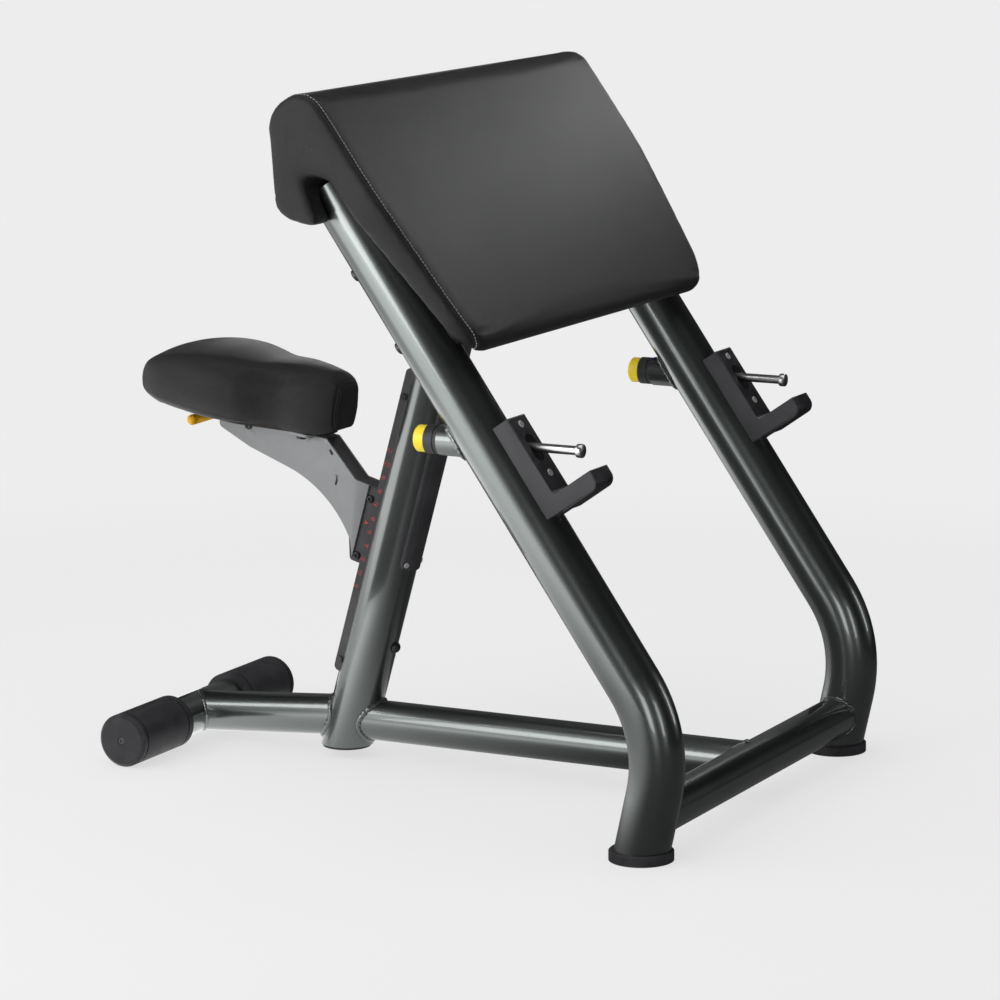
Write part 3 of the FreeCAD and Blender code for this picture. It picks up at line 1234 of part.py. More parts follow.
def pieces():
    """Every piece of the bench by its node name."""
    made = {
        "front_cross_tube": front_cross_tube(),
        "upper_cross_tube": upper_cross_tube(),
        "column_tube": column_tube(),
        "column_plug": column_plug(),
        "front_beam": front_beam(),
        "rear_beam": rear_beam(),
        "rear_cross_tube": rear_cross_tube(),
        "rear_tube_plugs": rear_tube_plugs(),
        "sleeve_screws": sleeve_screws(),
        "seat_rail": seat_rail(),
        "rail_stop_bolts": rail_stop_bolts(),
        "anchor_bolt": anchor_bolt(),
        "column_cover": column_cover(),
        "cover_screws": cover_screws(),
        "arm_pad": arm_pad(),
        "pad_board": pad_board(),
        "pad_bolts": pad_bolts(),
        "cradle_screws": cradle_screws(),
        "lower_glide": glide("lower_glide"),
        "upper_glide": glide("upper_glide"),
        "glide_bolts": glide_bolts(),
        "top_strip": top_strip(),
        "mount_plate": mount_plate(),
        "seat_board": seat_board(),
        "seat_bolts": seat_bolts(),
        "seat_cushion": seat_cushion(),
        "lever_pivot_bolt": lever_pivot_bolt(),
        "seat_pointer": seat_pointer(),
        "lever_arm": lever_arm(),
        "lever_grip": lever_grip(),
        "pull_bar": pull_bar(),
        "brake_pad": brake_pad(),
    }
    paired = {
        "leg_tube": leg_tube,
        "leg_plug": leg_plug,
        "foot_cap": foot_cap,
        "foot_sleeve": foot_sleeve,
        "bar_cradle": bar_cradle,
        "cradle_liner": cradle_liner,
        "cradle_tip": cradle_tip,
        "peg_stub": peg_stub,
        "peg_bush": peg_bush,
        "peg_pin": peg_pin,
        "peg_knob": peg_knob,
        "side_plate": side_plate,
        "follower": follower,
    }
    for name, make in paired.items():
        for side in SIDES:
            made[side + "_" + name] = make(side)
    return made


os.makedirs("parts", exist_ok=True)
for node, shape in pieces().items():
    shape.exportStep("parts/" + node + ".step")
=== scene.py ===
import math

import bpy
from mathutils import Matrix, Vector, kdtree


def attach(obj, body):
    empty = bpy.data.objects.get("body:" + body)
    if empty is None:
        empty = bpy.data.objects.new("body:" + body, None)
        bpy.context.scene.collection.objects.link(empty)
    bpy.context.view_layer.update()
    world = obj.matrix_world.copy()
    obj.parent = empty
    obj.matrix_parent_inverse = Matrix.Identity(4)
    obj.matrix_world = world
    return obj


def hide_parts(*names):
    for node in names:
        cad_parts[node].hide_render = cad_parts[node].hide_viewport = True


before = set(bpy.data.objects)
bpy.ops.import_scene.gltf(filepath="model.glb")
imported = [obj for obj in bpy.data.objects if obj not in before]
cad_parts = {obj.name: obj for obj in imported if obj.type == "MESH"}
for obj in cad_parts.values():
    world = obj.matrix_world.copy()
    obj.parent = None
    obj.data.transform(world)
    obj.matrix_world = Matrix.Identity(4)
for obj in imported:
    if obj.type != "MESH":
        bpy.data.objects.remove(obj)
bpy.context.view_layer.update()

# The camera stands off the left front corner of the bench at head height, with a long
# lens, as the product was photographed.
PHOTO_RIGHT = Vector((0.463726, -0.885942, -0.008077))
PHOTO_UP = Vector((0.158739, 0.074113, 0.984535))
PHOTO_FORWARD = Vector((0.871642, 0.457837, -0.175002))

lens = bpy.data.cameras.new("photo_camera")
lens.lens = 147.3226
lens.sensor_width = 36
lens.shift_x = 0.008486
lens.shift_y = -0.035886
camera = bpy.data.objects.new("photo_camera", lens)
camera.matrix_world = Matrix((PHOTO_RIGHT, PHOTO_UP, -PHOTO_FORWARD)).transposed().to_4x4()
camera.matrix_world.translation = (-5.14792, -2.74915, 1.48951)
bpy.context.scene.collection.objects.link(camera)
bpy.context.scene.camera = camera
bpy.context.scene.view_settings.view_transform = "Standard"


# The studio: a pale seamless floor under a pale room, lit brightly on the left. Soft lamps
# stand round the bench and overhead. Two flags, which only reflections see, keep the far
# leg and the column dark.
class Field:
    """A shader value. Sums and products of fields add their Math nodes."""

    def __init__(self, socket):
        self.socket = socket

    def node(self, kind, settings={}, inputs={}, out=0):
        """Any other node: its settings are set first, then its sockets get values or links."""
        tree = self.socket.id_data
        made = tree.nodes.new("ShaderNode" + kind)
        for name, value in settings.items():
            setattr(made, name, value)
        for name, value in inputs.items():
            if isinstance(value, Field):
                tree.links.new(value.socket, made.inputs[name])
            else:
                made.inputs[name].default_value = value
        return Field(made.outputs[out])

    def math(self, operation, first, second):
        return self.node("Math", {"operation": operation}, {0: first, 1: second})

    def __add__(self, other):
        return self.math("ADD", self, other)

    def __sub__(self, other):
        return self.math("SUBTRACT", self, other)

    def __mul__(self, other):
        return self.math("MULTIPLY", self, other)

    def __rsub__(self, other):
        return self.math("SUBTRACT", other, self)

    __radd__ = __add__
    __rmul__ = __mul__

    def ease(self, low, high, start=0.0, end=1.0):
        """Goes softly from start to end while the field goes from low to high."""
        return self.node("MapRange", {"interpolation_type": "SMOOTHSTEP"},
                         {"Value": self, "From Min": low, "From Max": high, "To Min": start, "To Max": end})

    def tint(self, low, high):
        """A colour between two, by this field."""
        return self.node("Mix", {"data_type": "RGBA"}, {0: self, 6: (*low, 1), 7: (*high, 1)}, out=2)

    def noise(self, scale, detail=2.0, roughness=0.5):
        return self.node("TexNoise", {},
                         {"Vector": self, "Scale": scale, "Detail": detail, "Roughness": roughness})

    def cells(self, scale, feature="F1"):
        return self.node("TexVoronoi", {"feature": feature}, {"Vector": self, "Scale": scale})


PAPER = 0.847
FLOOR_RADIUS = 9.0
FLOOR_DROP = 0.0005
FLOOR_GLOW = 0.77
FLOOR_ALBEDO = 0.78
FILL_LEFT = 1.05
FILL_RIGHT = 0.20
ROOM_DARK = 0.03
ROOM_LEFT = 2.1
ROOM_TOP = 0.12
FLOOR_DARK = 0.08
CAMERA_LEFT = (-0.465, 0.885, 0.0)
BACKWARD = (-0.20, 0.98, 0.0)


def seen(start):
    """1 where the camera, a reflection or a clear piece looks, 0 for light that falls on things."""
    path = start.node("LightPath")
    nodes = path.socket.node.outputs
    looks = [Field(nodes[name]) for name in ("Is Camera Ray", "Is Glossy Ray", "Is Transmission Ray")]
    return looks[0], looks[1], looks[0] + looks[1] + looks[2]


room = bpy.data.worlds.new("pale_room")
bpy.context.scene.world = room
room.use_nodes = True
room_air = room.node_tree.nodes["Background"]
direction = Field(room.node_tree.nodes.new("ShaderNodeTexCoord").outputs["Generated"])
leftward = direction.node("VectorMath", {"operation": "DOT_PRODUCT"}, {0: direction, 1: CAMERA_LEFT}, out=1)
camera_looks, gloss_looks, any_looks = seen(direction)
height = direction.node("SeparateXYZ", {}, {0: direction}, out=2)
studio_gloss = leftward.ease(0.40, 0.95, ROOM_DARK, ROOM_LEFT) * height.ease(-0.02, 0.30, 1.0, ROOM_TOP)
room_fill = leftward.ease(-0.7, 0.7, FILL_RIGHT, FILL_LEFT)
level = camera_looks * PAPER + gloss_looks * studio_gloss + (1 - any_looks.ease(0, 1)) * room_fill
room.node_tree.links.new(level.socket, room_air.inputs["Color"])

bpy.ops.object.select_all(action="DESELECT")
bpy.ops.mesh.primitive_circle_add(vertices=96, radius=FLOOR_RADIUS, fill_type="NGON",
                                  location=(0, 0, -FLOOR_DROP))
floor = bpy.context.object
floor.name = "studio_floor"
floor_paper = bpy.data.materials.new("floor_paper")
floor_paper.use_nodes = True
paper_nodes = floor_paper.node_tree
paper_nodes.nodes.remove(paper_nodes.nodes["Principled BSDF"])
spot = Field(paper_nodes.nodes.new("ShaderNodeTexCoord").outputs["Object"])
matte = spot.node("BsdfDiffuse", {}, {"Color": (FLOOR_ALBEDO, FLOOR_ALBEDO, FLOOR_ALBEDO, 1)})
camera_looks, gloss_looks, any_looks = seen(spot)
# In reflections the floor glows as painted light: bright behind the bench, dark in front and to the right, with
# a painted shade on the floor behind the bench on the left.
floor_back = spot.node("VectorMath", {"operation": "DOT_PRODUCT"}, {0: spot, 1: BACKWARD}, out=1)
across = spot.node("SeparateXYZ", {}, {0: spot}, out=0)
painted_floor_shade = floor_back.ease(0.8, 1.4) * across.ease(-1.6, -0.8)
floor_painted_reflection = floor_back.ease(-0.35, 1.1, FLOOR_DARK, ROOM_LEFT) * (1 - 0.7 * painted_floor_shade)
floor_painted_reflection = floor_painted_reflection * across.ease(0.5, 1.5, 1.0, 0.05)
glow = spot.node("Emission", {}, {"Color": (1 - gloss_looks) * PAPER + gloss_looks * floor_painted_reflection})
clear = spot.node("BsdfTransparent")
glow_share = (any_looks - gloss_looks) * FLOOR_GLOW + gloss_looks
lit = spot.node("MixShader", {}, {0: glow_share, 1: matte, 2: glow})
away = spot.node("VectorMath", {"operation": "LENGTH"}, {0: spot}, out=1)
sheet = spot.node("MixShader", {}, {0: away.ease(1.1, 2.6) * (1 - gloss_looks), 1: lit, 2: clear})
paper_nodes.links.new(sheet.socket, paper_nodes.nodes["Material Output"].inputs["Surface"])
floor.data.materials.append(floor_paper)

FAR_LEG_FLAG = ((-0.45, 0.02), (-0.45, 0.17), (0.0, 0.82), (0.17, 0.82), (0.17, 0.40), (0.60, 0.40),
                (0.60, 0.02))
COLUMN_FLAG = ((0.26, 0.22), (0.08, 0.22), (-0.085, 0.80), (0.12, 0.80), (0.19, 0.50))
FLAGS = (("far_leg_flag", 0.22, FAR_LEG_FLAG, 0.04), ("column_flag", -0.15, COLUMN_FLAG, 0.12))
# Each flag is a dimly glowing sheet that only reflections see: a painted dark reflection on the far leg and the
# column, at the brightness listed.
for name, x, outline, brightness in FLAGS:
    flag_sheet = bpy.data.meshes.new(name)
    flag_sheet.from_pydata([(x, y, z) for y, z in outline], [], [range(len(outline))])
    flag = bpy.data.objects.new(name, flag_sheet)
    bpy.context.scene.collection.objects.link(flag)
    flag_glow = bpy.data.materials.new(name)
    flag_glow.use_nodes = True
    flag_shader = flag_glow.node_tree.nodes["Principled BSDF"]
    flag_shader.inputs["Base Color"].default_value = (0, 0, 0, 1)
    flag_shader.inputs["Emission Color"].default_value = (1, 1, 1, 1)
    flag_shader.inputs["Emission Strength"].default_value = brightness
    flag_sheet.materials.append(flag_glow)
    flag.visible_camera = False
    flag.visible_diffuse = False
    flag.visible_shadow = False
    flag.visible_transmission = False

LAMPS = (
    ("left_softbox", (-1.95, 0.65, 1.1), (0, 0, 0.6), 1.1, 0.9, 12),
    ("back_softbox", (-1.5, 1.7, 1.9), (0, 0, 0.6), 0.8, 0.8, 9),
    ("camera_softbox", (-3.9, -2.4, 0.85), (0, 0, 0.4), 1.0, 1.2, 14),
    ("front_window", (-1.35, -3.17, 0.9), (0, 0, 0.4), 0.5, 1.0, 5),
    ("side_strip", (1.68, -2.4, 0.9), (0, 0, 0.4), 0.25, 1.0, 3),
    ("overhead_softbox", (-0.3, -0.3, 3.4), (0, 0, 0.5), 2.6, 2.6, 32),
    ("right_softbox", (1.40, -0.20, 1.33), (0.50, 0.0, 1.0), 0.35, 0.35, 2.2),
    ("seat_softbox", (1.30, 0.90, 0.95), (0, 0.3, 0.5), 0.5, 0.5, 1.2),
)
for name, place, aim, wide, tall, power in LAMPS:
    lamp = bpy.data.lights.new(name, "AREA")
    lamp.shape = "RECTANGLE"
    lamp.size = wide
    lamp.size_y = tall
    lamp.energy = power
    stand = bpy.data.objects.new(name, lamp)
    stand.location = place
    stand.rotation_euler = (Vector(aim) - Vector(place)).to_track_quat("-Z", "Y").to_euler()
    stand.visible_camera = False
    bpy.context.scene.collection.objects.link(stand)


# Tube frame: two bent legs, cross tubes, beams and a leaning column, round steel tube.
# Dark green-grey metallic lacquer with a fine flake, sprayed over the welded frame.
LACQUER_DARK = (0.130, 0.147, 0.140)
LACQUER_FLAKE = (0.225, 0.240, 0.234)


def finish(name, **sockets):
    """A material whose constant sockets are set, its shader, and its Object coordinates."""
    material = bpy.data.materials.new(name)
    material.use_nodes = True
    shader = material.node_tree.nodes["Principled BSDF"]
    for socket, value in sockets.items():
        shader.inputs[socket.replace("_", " ").title().replace("Ior", "IOR")].default_value = value
    place = Field(material.node_tree.nodes.new("ShaderNodeTexCoord").outputs["Object"])
    return material, shader, place


def feed(shader, socket, field):
    field.socket.id_data.links.new(field.socket, shader.inputs[socket])


def raise_grain(shader, height, distance):
    grain = height.node("Bump", {}, {"Height": height, "Distance": distance, "Strength": 1.0})
    feed(shader, "Normal", grain)


def coat(material, *nodes):
    """Gives CAD pieces this finish."""
    for name in nodes:
        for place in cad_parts[name].material_slots:
            place.material = material


def pair(*names):
    return [side + "_" + name for name in names for side in ("left", "right")]


lacquer, lacquer_shader, at = finish("green_grey_lacquer", metallic=0.97,
                                     coat_weight=1.0, coat_roughness=0.04)
flake = at.noise(420.0, 2.0)
cloud = at.noise(9.0, 3.0)
feed(lacquer_shader, "Base Color", (flake * 0.25 + cloud * 0.5).tint(LACQUER_DARK, LACQUER_FLAKE))
feed(lacquer_shader, "Roughness", at.noise(5.0).ease(0.3, 0.7, 0.28, 0.31))
coat(lacquer, *pair("leg_tube", "peg_stub"), "front_cross_tube", "upper_cross_tube", "column_tube",
     "front_beam", "rear_beam", "rear_cross_tube")


# Weld beads where the tubes meet: stacked puddles of weld metal left as they cooled,
# and lacquered with the frame.
LEG_X = 0.33585
LEG_R = 0.03805
BEAM_R = 0.03015
STUB_R = 0.0212
BEAD_R = 0.0030
FAT_BEAD_R = 0.0046
BEAD_SINK = 0.0003
PUDDLE_LENGTH = 0.0075
PUDDLE_POINTS = 3
PUDDLE_RIPPLE = 0.16
CROSS_WELD_X = LEG_X - 0.08
STUB_WELD_Y = 0.068
FRONT_TUBE = Vector((0, -0.45627, 0.058))
UPPER_TUBE = Vector((0, -0.02836, 0.82405))
REAR_TUBE = Vector((0, 0.4581, 0.0395))
COLUMN_FOOT = Vector((0, 0.2056, 0))
PEG_LEG = Vector((0, -0.21773, 0.5513))
BEAM_WELDS = (
    ((0, FRONT_TUBE.y + 0.10, 0.0578), (0, -1, 0.0002), "front_cross_tube", BEAD_R),
    ((0, 0.09, 0.0566), (0, 1, 0), "column_tube", FAT_BEAD_R),
    ((0, 0.29, 0.0525), (0, -1, 0.07), "column_tube", FAT_BEAD_R),
    ((0, 0.37, 0.0463), (0, 1, -0.0776), "rear_cross_tube", BEAD_R),
)
beads = []


def only(piece):
    bpy.ops.object.select_all(action="DESELECT")
    piece.select_set(True)
    bpy.context.view_layer.objects.active = piece


def settle(piece, modifier):
    """Applies a modifier to a piece."""
    only(piece)
    bpy.ops.object.modifier_apply(modifier=modifier.name)


def joined(pieces, name):
    only(pieces[0])
    for piece in pieces:
        piece.select_set(True)
    bpy.ops.object.join()
    pieces[0].name = name
    pieces[0].data.name = name
    return pieces[0]


def thickened(line, radius, ripple=0.0):
    """Turns a mesh line into a round bead, with a ripple of three points a puddle."""
    only(line)
    bpy.ops.object.convert(target="CURVE")
    line.data.bevel_depth = radius
    line.data.bevel_resolution = 2
    line.data.use_fill_caps = True
    for spline in line.data.splines:
        for index, point in enumerate(spline.points):
            point.radius = 1 + ripple * math.sin(index * math.tau / PUDDLE_POINTS)
    bpy.ops.object.convert(target="MESH")
    bpy.ops.object.shade_smooth()
    return line


def weld(start, towards, radius, target, bead):
    """A bead round the end of a tube, on the skin of the tube that it runs into."""
    points = PUDDLE_POINTS * int(radius * math.tau / PUDDLE_LENGTH)
    turn = Vector(towards).to_track_quat("Z", "Y").to_euler()
    bpy.ops.object.select_all(action="DESELECT")
    bpy.ops.mesh.primitive_circle_add(vertices=points, radius=radius - BEAD_SINK, location=start, rotation=turn)
    ring = bpy.context.object
    lay = ring.modifiers.new("lay", "SHRINKWRAP")
    lay.wrap_method = "PROJECT"
    lay.use_project_z = True
    lay.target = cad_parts[target]
    settle(ring, lay)
    bpy.ops.object.transform_apply()
    beads.append(thickened(ring, bead, PUDDLE_RIPPLE))


for side, sign in (("left", -1), ("right", 1)):
    for tube in (FRONT_TUBE, UPPER_TUBE):
        weld(tube + Vector((sign * CROSS_WELD_X, 0, 0)), (sign, 0, 0), BEAM_R, side + "_leg_tube", BEAD_R)
    stub_end = PEG_LEG + Vector((sign * LEG_X, STUB_WELD_Y, 0))
    weld(stub_end, (0, -1, 0), STUB_R, side + "_leg_tube", FAT_BEAD_R)
for start, towards, target, bead in BEAM_WELDS:
    weld(start, towards, BEAM_R, target, bead)
weld_beads = joined(beads, "frame_weld_beads")
weld_beads.data.materials.append(lacquer)
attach(weld_beads, "frame")


# Rubber foot caps and sleeves: dull charcoal rubber, moulded, pushed on over the tubes.
# A socket screw holds each sleeve's end disc, and plastic plugs close the tubes.
RUBBER_DARK = (0.020, 0.0195, 0.0225)
RUBBER_PALE = (0.034, 0.033, 0.0375)

rubber, rubber_shader, at = finish("charcoal_rubber", specular_ior_level=0.25)
bloom = at.noise(34.0, 5.0, 0.6)
feed(rubber_shader, "Base Color", bloom.ease(0.35, 0.7).tint(RUBBER_DARK, RUBBER_PALE))
feed(rubber_shader, "Roughness", bloom.ease(0.3, 0.7, 0.50, 0.64))
raise_grain(rubber_shader, at.noise(1500.0, 2.0), 0.00012)
coat(rubber, *pair("foot_cap", "foot_sleeve"))

plug_plastic, plug_shader, at = finish("plug_plastic", specular_ior_level=0.35)
feed(plug_shader, "Base Color", at.noise(50.0, 3.0).tint((0.030, 0.031, 0.033), (0.044, 0.045, 0.047)))
feed(plug_shader, "Roughness", at.noise(160.0).ease(0.3, 0.7, 0.42, 0.52))
raise_grain(plug_shader, at.noise(2200.0), 0.00008)
coat(plug_plastic, "column_plug", "rear_tube_plugs", "lower_glide", "upper_glide")
coat(lacquer, *pair("leg_plug"))

zinc, zinc_shader, at = finish("zinc_plate", metallic=0.6)
feed(zinc_shader, "Base Color", at.noise(300.0, 3.0).tint((0.42, 0.42, 0.43), (0.62, 0.62, 0.63)))
feed(zinc_shader, "Roughness", at.noise(900.0).ease(0.3, 0.7, 0.22, 0.38))
black_zinc, black_shader, at = finish("black_bolt_steel", metallic=0.85)
feed(black_shader, "Base Color", at.noise(400.0, 3.0).tint((0.035, 0.035, 0.037), (0.075, 0.075, 0.08)))
feed(black_shader, "Roughness", at.noise(900.0).ease(0.3, 0.7, 0.30, 0.45))
coat(black_zinc, "rail_stop_bolts", "anchor_bolt", "pad_bolts", "seat_bolts")


def socket_screws(name, node, places, size, material, body):
    """Round-headed screws with a hexagon socket, one for each place and outward direction."""
    radius, height, key = size
    bpy.ops.object.select_all(action="DESELECT")
    bpy.ops.mesh.primitive_cylinder_add(vertices=36, radius=radius, depth=2 * height)
    head = bpy.context.object
    rim = head.modifiers.new("rim", "BEVEL")
    rim.width = height * 0.7
    rim.segments = 4
    rim.limit_method = "ANGLE"
    settle(head, rim)
    bpy.ops.mesh.primitive_cylinder_add(vertices=6, radius=key, depth=height * 1.3, location=(0, 0, height))
    wrench = bpy.context.object
    bore = head.modifiers.new("bore", "BOOLEAN")
    bore.object = wrench
    settle(head, bore)
    bpy.data.objects.remove(wrench)
    bpy.ops.object.shade_smooth_by_angle(angle=math.radians(35))
    row = []
    for place, outward in places:
        screw = bpy.data.objects.new(name, head.data.copy())
        bpy.context.scene.collection.objects.link(screw)
        turn = Vector(outward).to_track_quat("Z", "Y").to_matrix().to_4x4()
        screw.data.transform(Matrix.Translation(place) @ turn)
        row.append(screw)
    bpy.data.objects.remove(head)
    made = joined(row, name)
    made.data.materials.append(material)
    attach(made, body)
    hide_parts(node)


SLEEVE_SCREW_X = 0.2177
SLEEVE_SCREW = (0.006, 0.0016, 0.0026)
sleeve_places = [(REAR_TUBE + Vector((sign * SLEEVE_SCREW_X, 0, 0)), (sign, 0, 0)) for sign in (-1, 1)]
socket_screws("sleeve_end_screws", "sleeve_screws", sleeve_places, SLEEVE_SCREW, black_zinc, "frame")


# Seat rail: a black slotted channel let into the back of the column, screwed to it, with
# a printed scale of numbers on its left side for the seat's height.
RAIL_SIDE = -0.025
RAIL_REAR = 0.03955
SCALE_FROM = 0.262
SCALE_STEP = 0.0215
SCALE_MARKS = 11
DIGIT_HEIGHT = 0.0105
DIGIT_BACK = 0.0338
INK_PROUD = 0.00005
TICK_THIN = (0.0014, 0.00016)
TICK_LENGTHS = (0.0042, 0.0030)
TICK_INSET = 0.0003
INK = (0.42, 0.045, 0.035)
COLUMN_UP = Vector((0, -0.27312, 0.96198))
COLUMN_BACK = Vector((0, 0.96198, 0.27312))


def column_place(x, along, back):
    return COLUMN_FOOT + Vector((x, 0, 0)) + COLUMN_UP * along + COLUMN_BACK * back


satin_black, satin_shader, at = finish("satin_black_steel", metallic=0.2, specular_ior_level=0.45)
feed(satin_shader, "Base Color", at.noise(40.0, 4.0).tint((0.030, 0.029, 0.033), (0.058, 0.056, 0.062)))
feed(satin_shader, "Roughness", at.noise(120.0, 3.0).ease(0.3, 0.7, 0.36, 0.48))
raise_grain(satin_shader, at.noise(1600.0), 0.00006)
coat(satin_black, "seat_rail", "pull_bar", "lever_arm", *pair("follower"))

ink, ink_shader, at = finish("red_ink", roughness=0.5)
feed(ink_shader, "Base Color", at.noise(700.0, 3.0).ease(0.3, 0.7).tint((0.30, 0.035, 0.03), INK))
coat(ink, "seat_pointer")

marks = []
for number in range(SCALE_MARKS):
    along = SCALE_FROM + SCALE_STEP * number
    bpy.ops.object.select_all(action="DESELECT")
    bpy.ops.object.text_add()
    digit = bpy.context.object
    digit.data.body = str(number + 1)
    digit.data.size = DIGIT_HEIGHT
    digit.data.extrude = 0.00008
    digit.data.resolution_u = 3
    digit.data.align_x = "CENTER"
    digit.data.align_y = "CENTER"
    bpy.ops.object.convert(target="MESH")
    turn = Matrix((-COLUMN_BACK, COLUMN_UP, Vector((-1, 0, 0)))).transposed().to_4x4()
    digit.data.transform(Matrix.Translation(column_place(RAIL_SIDE - INK_PROUD, along, DIGIT_BACK)) @ turn)
    marks.append(digit)
    bpy.ops.mesh.primitive_cube_add(size=1)
    tick = bpy.context.object
    length = TICK_LENGTHS[number % 2]
    middle = column_place(RAIL_SIDE - INK_PROUD, along, RAIL_REAR - length / 2 - TICK_INSET)
    tick.data.transform(Matrix.Translation(middle) @ turn @ Matrix.Diagonal((length, *TICK_THIN, 1)))
    marks.append(tick)
seat_scale = joined(marks, "seat_height_scale")
seat_scale.data.materials.clear()
seat_scale.data.materials.append(ink)
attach(seat_scale, "frame")


# Column cover: a moulded charcoal strip that hugs the front of the column, held by four
# small bright screws, one at each corner.
CHARCOAL_DARK = (0.023, 0.0223, 0.0255)
CHARCOAL_PALE = (0.037, 0.036, 0.0405)
COVER_SKIN = 0.04155
LONG_EDGE = 0.015
SIDE_FACE_GAP = 0.0003
COVER_SCREWS = ((0.321, -33), (0.321, 33), (0.591, -33), (0.591, 33))
COVER_SCREW = (0.004, 0.0014, 0.0017)
COVER_EDGE = 0.0009
DOUBLES_GAP = 0.00002


def copied(node, name):
    """A new piece with a CAD piece's mesh, its loose triangles merged."""
    made = bpy.data.objects.new(name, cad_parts[node].data.copy())
    bpy.context.scene.collection.objects.link(made)
    made.data.name = name
    made.data.materials.clear()
    only(made)
    bpy.ops.object.mode_set(mode="EDIT")
    bpy.ops.mesh.select_all(action="SELECT")
    bpy.ops.mesh.remove_doubles(threshold=DOUBLES_GAP)
    bpy.ops.mesh.customdata_custom_splitnormals_clear()
    bpy.ops.object.mode_set(mode="OBJECT")
    return made


def mark_long_rims(piece):
    """Weights the long straight edges round a piece's two side faces, which its mould rounds."""
    bpy.ops.object.mode_set(mode="EDIT")
    bpy.ops.mesh.select_mode(type="EDGE")
    bpy.ops.mesh.select_all(action="DESELECT")
    bpy.ops.mesh.edges_select_sharp(sharpness=math.radians(40))
    bpy.ops.object.mode_set(mode="OBJECT")
    points = [vertex.co for vertex in piece.data.vertices]
    sides = (min(point.x for point in points), max(point.x for point in points))
    weights = piece.data.attributes.new("bevel_weight_edge", "FLOAT", "EDGE")
    for line in piece.data.edges:
        start, end = (points[index] for index in line.vertices)
        at_sides = all(min(abs(point.x - side) for side in sides) < SIDE_FACE_GAP for point in (start, end))
        if line.select and at_sides and (end - start).length > LONG_EDGE:
            weights.data[line.index].value = 1.0


def eased(node, name, width, material, body, long_rims=False):
    """A CAD piece with its sharp edges eased, as on the real piece, so that they catch light."""
    made = copied(node, name)
    bpy.ops.object.mode_set(mode="EDIT")
    bpy.ops.mesh.select_all(action="SELECT")
    bpy.ops.mesh.dissolve_limited(angle_limit=math.radians(0.5))
    bpy.ops.object.mode_set(mode="OBJECT")
    edge = made.modifiers.new("edge", "BEVEL")
    edge.width = width
    edge.segments = 2
    edge.limit_method = "ANGLE"
    edge.angle_limit = math.radians(40)
    if long_rims:
        mark_long_rims(made)
        edge.limit_method = "WEIGHT"
        edge.segments = 3
        edge.use_clamp_overlap = False
    settle(made, edge)
    bpy.ops.object.shade_smooth_by_angle(angle=math.radians(35))
    made.data.materials.append(material)
    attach(made, body)
    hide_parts(node)


charcoal, charcoal_shader, at = finish("moulded_charcoal", specular_ior_level=0.45)
flow = at.noise(14.0, 4.0, 0.6)
feed(charcoal_shader, "Base Color", flow.ease(0.3, 0.7).tint(CHARCOAL_DARK, CHARCOAL_PALE))
feed(charcoal_shader, "Roughness", flow.ease(0.3, 0.7, 0.40, 0.52))
raise_grain(charcoal_shader, at.noise(1300.0, 3.0) + at.cells(2400), 0.00010)
coat(charcoal, *pair("peg_bush"))
eased("column_cover", "front_cover", COVER_EDGE, charcoal, "frame")

screw_places = []
for along, degrees in COVER_SCREWS:
    turn = math.radians(degrees)
    outward = Vector((math.sin(turn), 0, 0)) - COLUMN_BACK * math.cos(turn)
    screw_places.append((column_place(0, along, 0) + outward * COVER_SKIN, outward))
socket_screws("cover_corner_screws", "cover_screws", screw_places, COVER_SCREW, zinc, "frame")


# Pad board: a plywood panel, coloured near black, which the arm pad is stapled to. It is bolted
# across the two legs. The seat's board is of the same plywood.
PLY_PALE = (0.030, 0.027, 0.024)
PLY_DARK = (0.012, 0.011, 0.010)

plywood, ply_shader, at = finish("near_black_ply", roughness=0.62, specular_ior_level=0.3)
along_grain = at.node("Mapping", {}, {"Vector": at, "Scale": (3.0, 60.0, 60.0)})
veneer = along_grain.noise(4.0, 6.0, 0.65)
feed(ply_shader, "Base Color", veneer.ease(0.3, 0.7).tint(PLY_DARK, PLY_PALE))
raise_grain(ply_shader, veneer, 0.0002)
coat(plywood, "pad_board", "seat_board")


# Arm pad: firm foam under black grained vinyl, wrapped from the nose over the arm face
# and round the rear roll. An end panel is sewn on at each side, with a row of stitches.
KNEE = Vector((0, -0.4819, 0.171))
LEG_UP = Vector((0, 0.57043, 0.82134))
LEG_OUT = Vector((0, -0.82134, 0.57043))
PAD_VOXEL = 0.006
PAD_SHRINK = 0.0010
PAD_CAP = 0.0013
PAD_SEAM = (
    (0.905, 0.4085, -0.058), (0.945, 0.4085, -0.040), (0.984, 0.4085, -0.006), (0.9965, 0.4085, 0.030),
    (0.993, 0.409, 0.060), (0.978, 0.409, 0.078), (0.955, 0.409, 0.0845), (0.914, 0.409, 0.0860),
    (0.855, 0.4095, 0.0865), (0.810, 0.4065, 0.0865), (0.772, 0.4015, 0.0865), (0.730, 0.3955, 0.0865),
    (0.685, 0.3885, 0.0862), (0.645, 0.3815, 0.0855), (0.615, 0.3755, 0.0845), (0.594, 0.3650, 0.0800),
    (0.580, 0.3545, 0.0700), (0.577, 0.3500, 0.0600), (0.580, 0.3500, 0.0520),
)
STITCH_ASIDE = 0.0050
STITCH_PITCH = 0.0052
STITCH_LENGTH = 0.0036
STITCH_R = 0.0008
WELT_R = 0.0012
SEAM_REACH = 0.0075
SEAM_DEPTH = 0.0022
FOAM_PRESSURE = 4
FOAM_STEPS = 20
LEG_HUG = LEG_R + 0.005
ROLL_START = 0.86
VINYL_DARK = (0.0042, 0.0042, 0.0044)
VINYL_PALE = (0.0090, 0.0090, 0.0093)

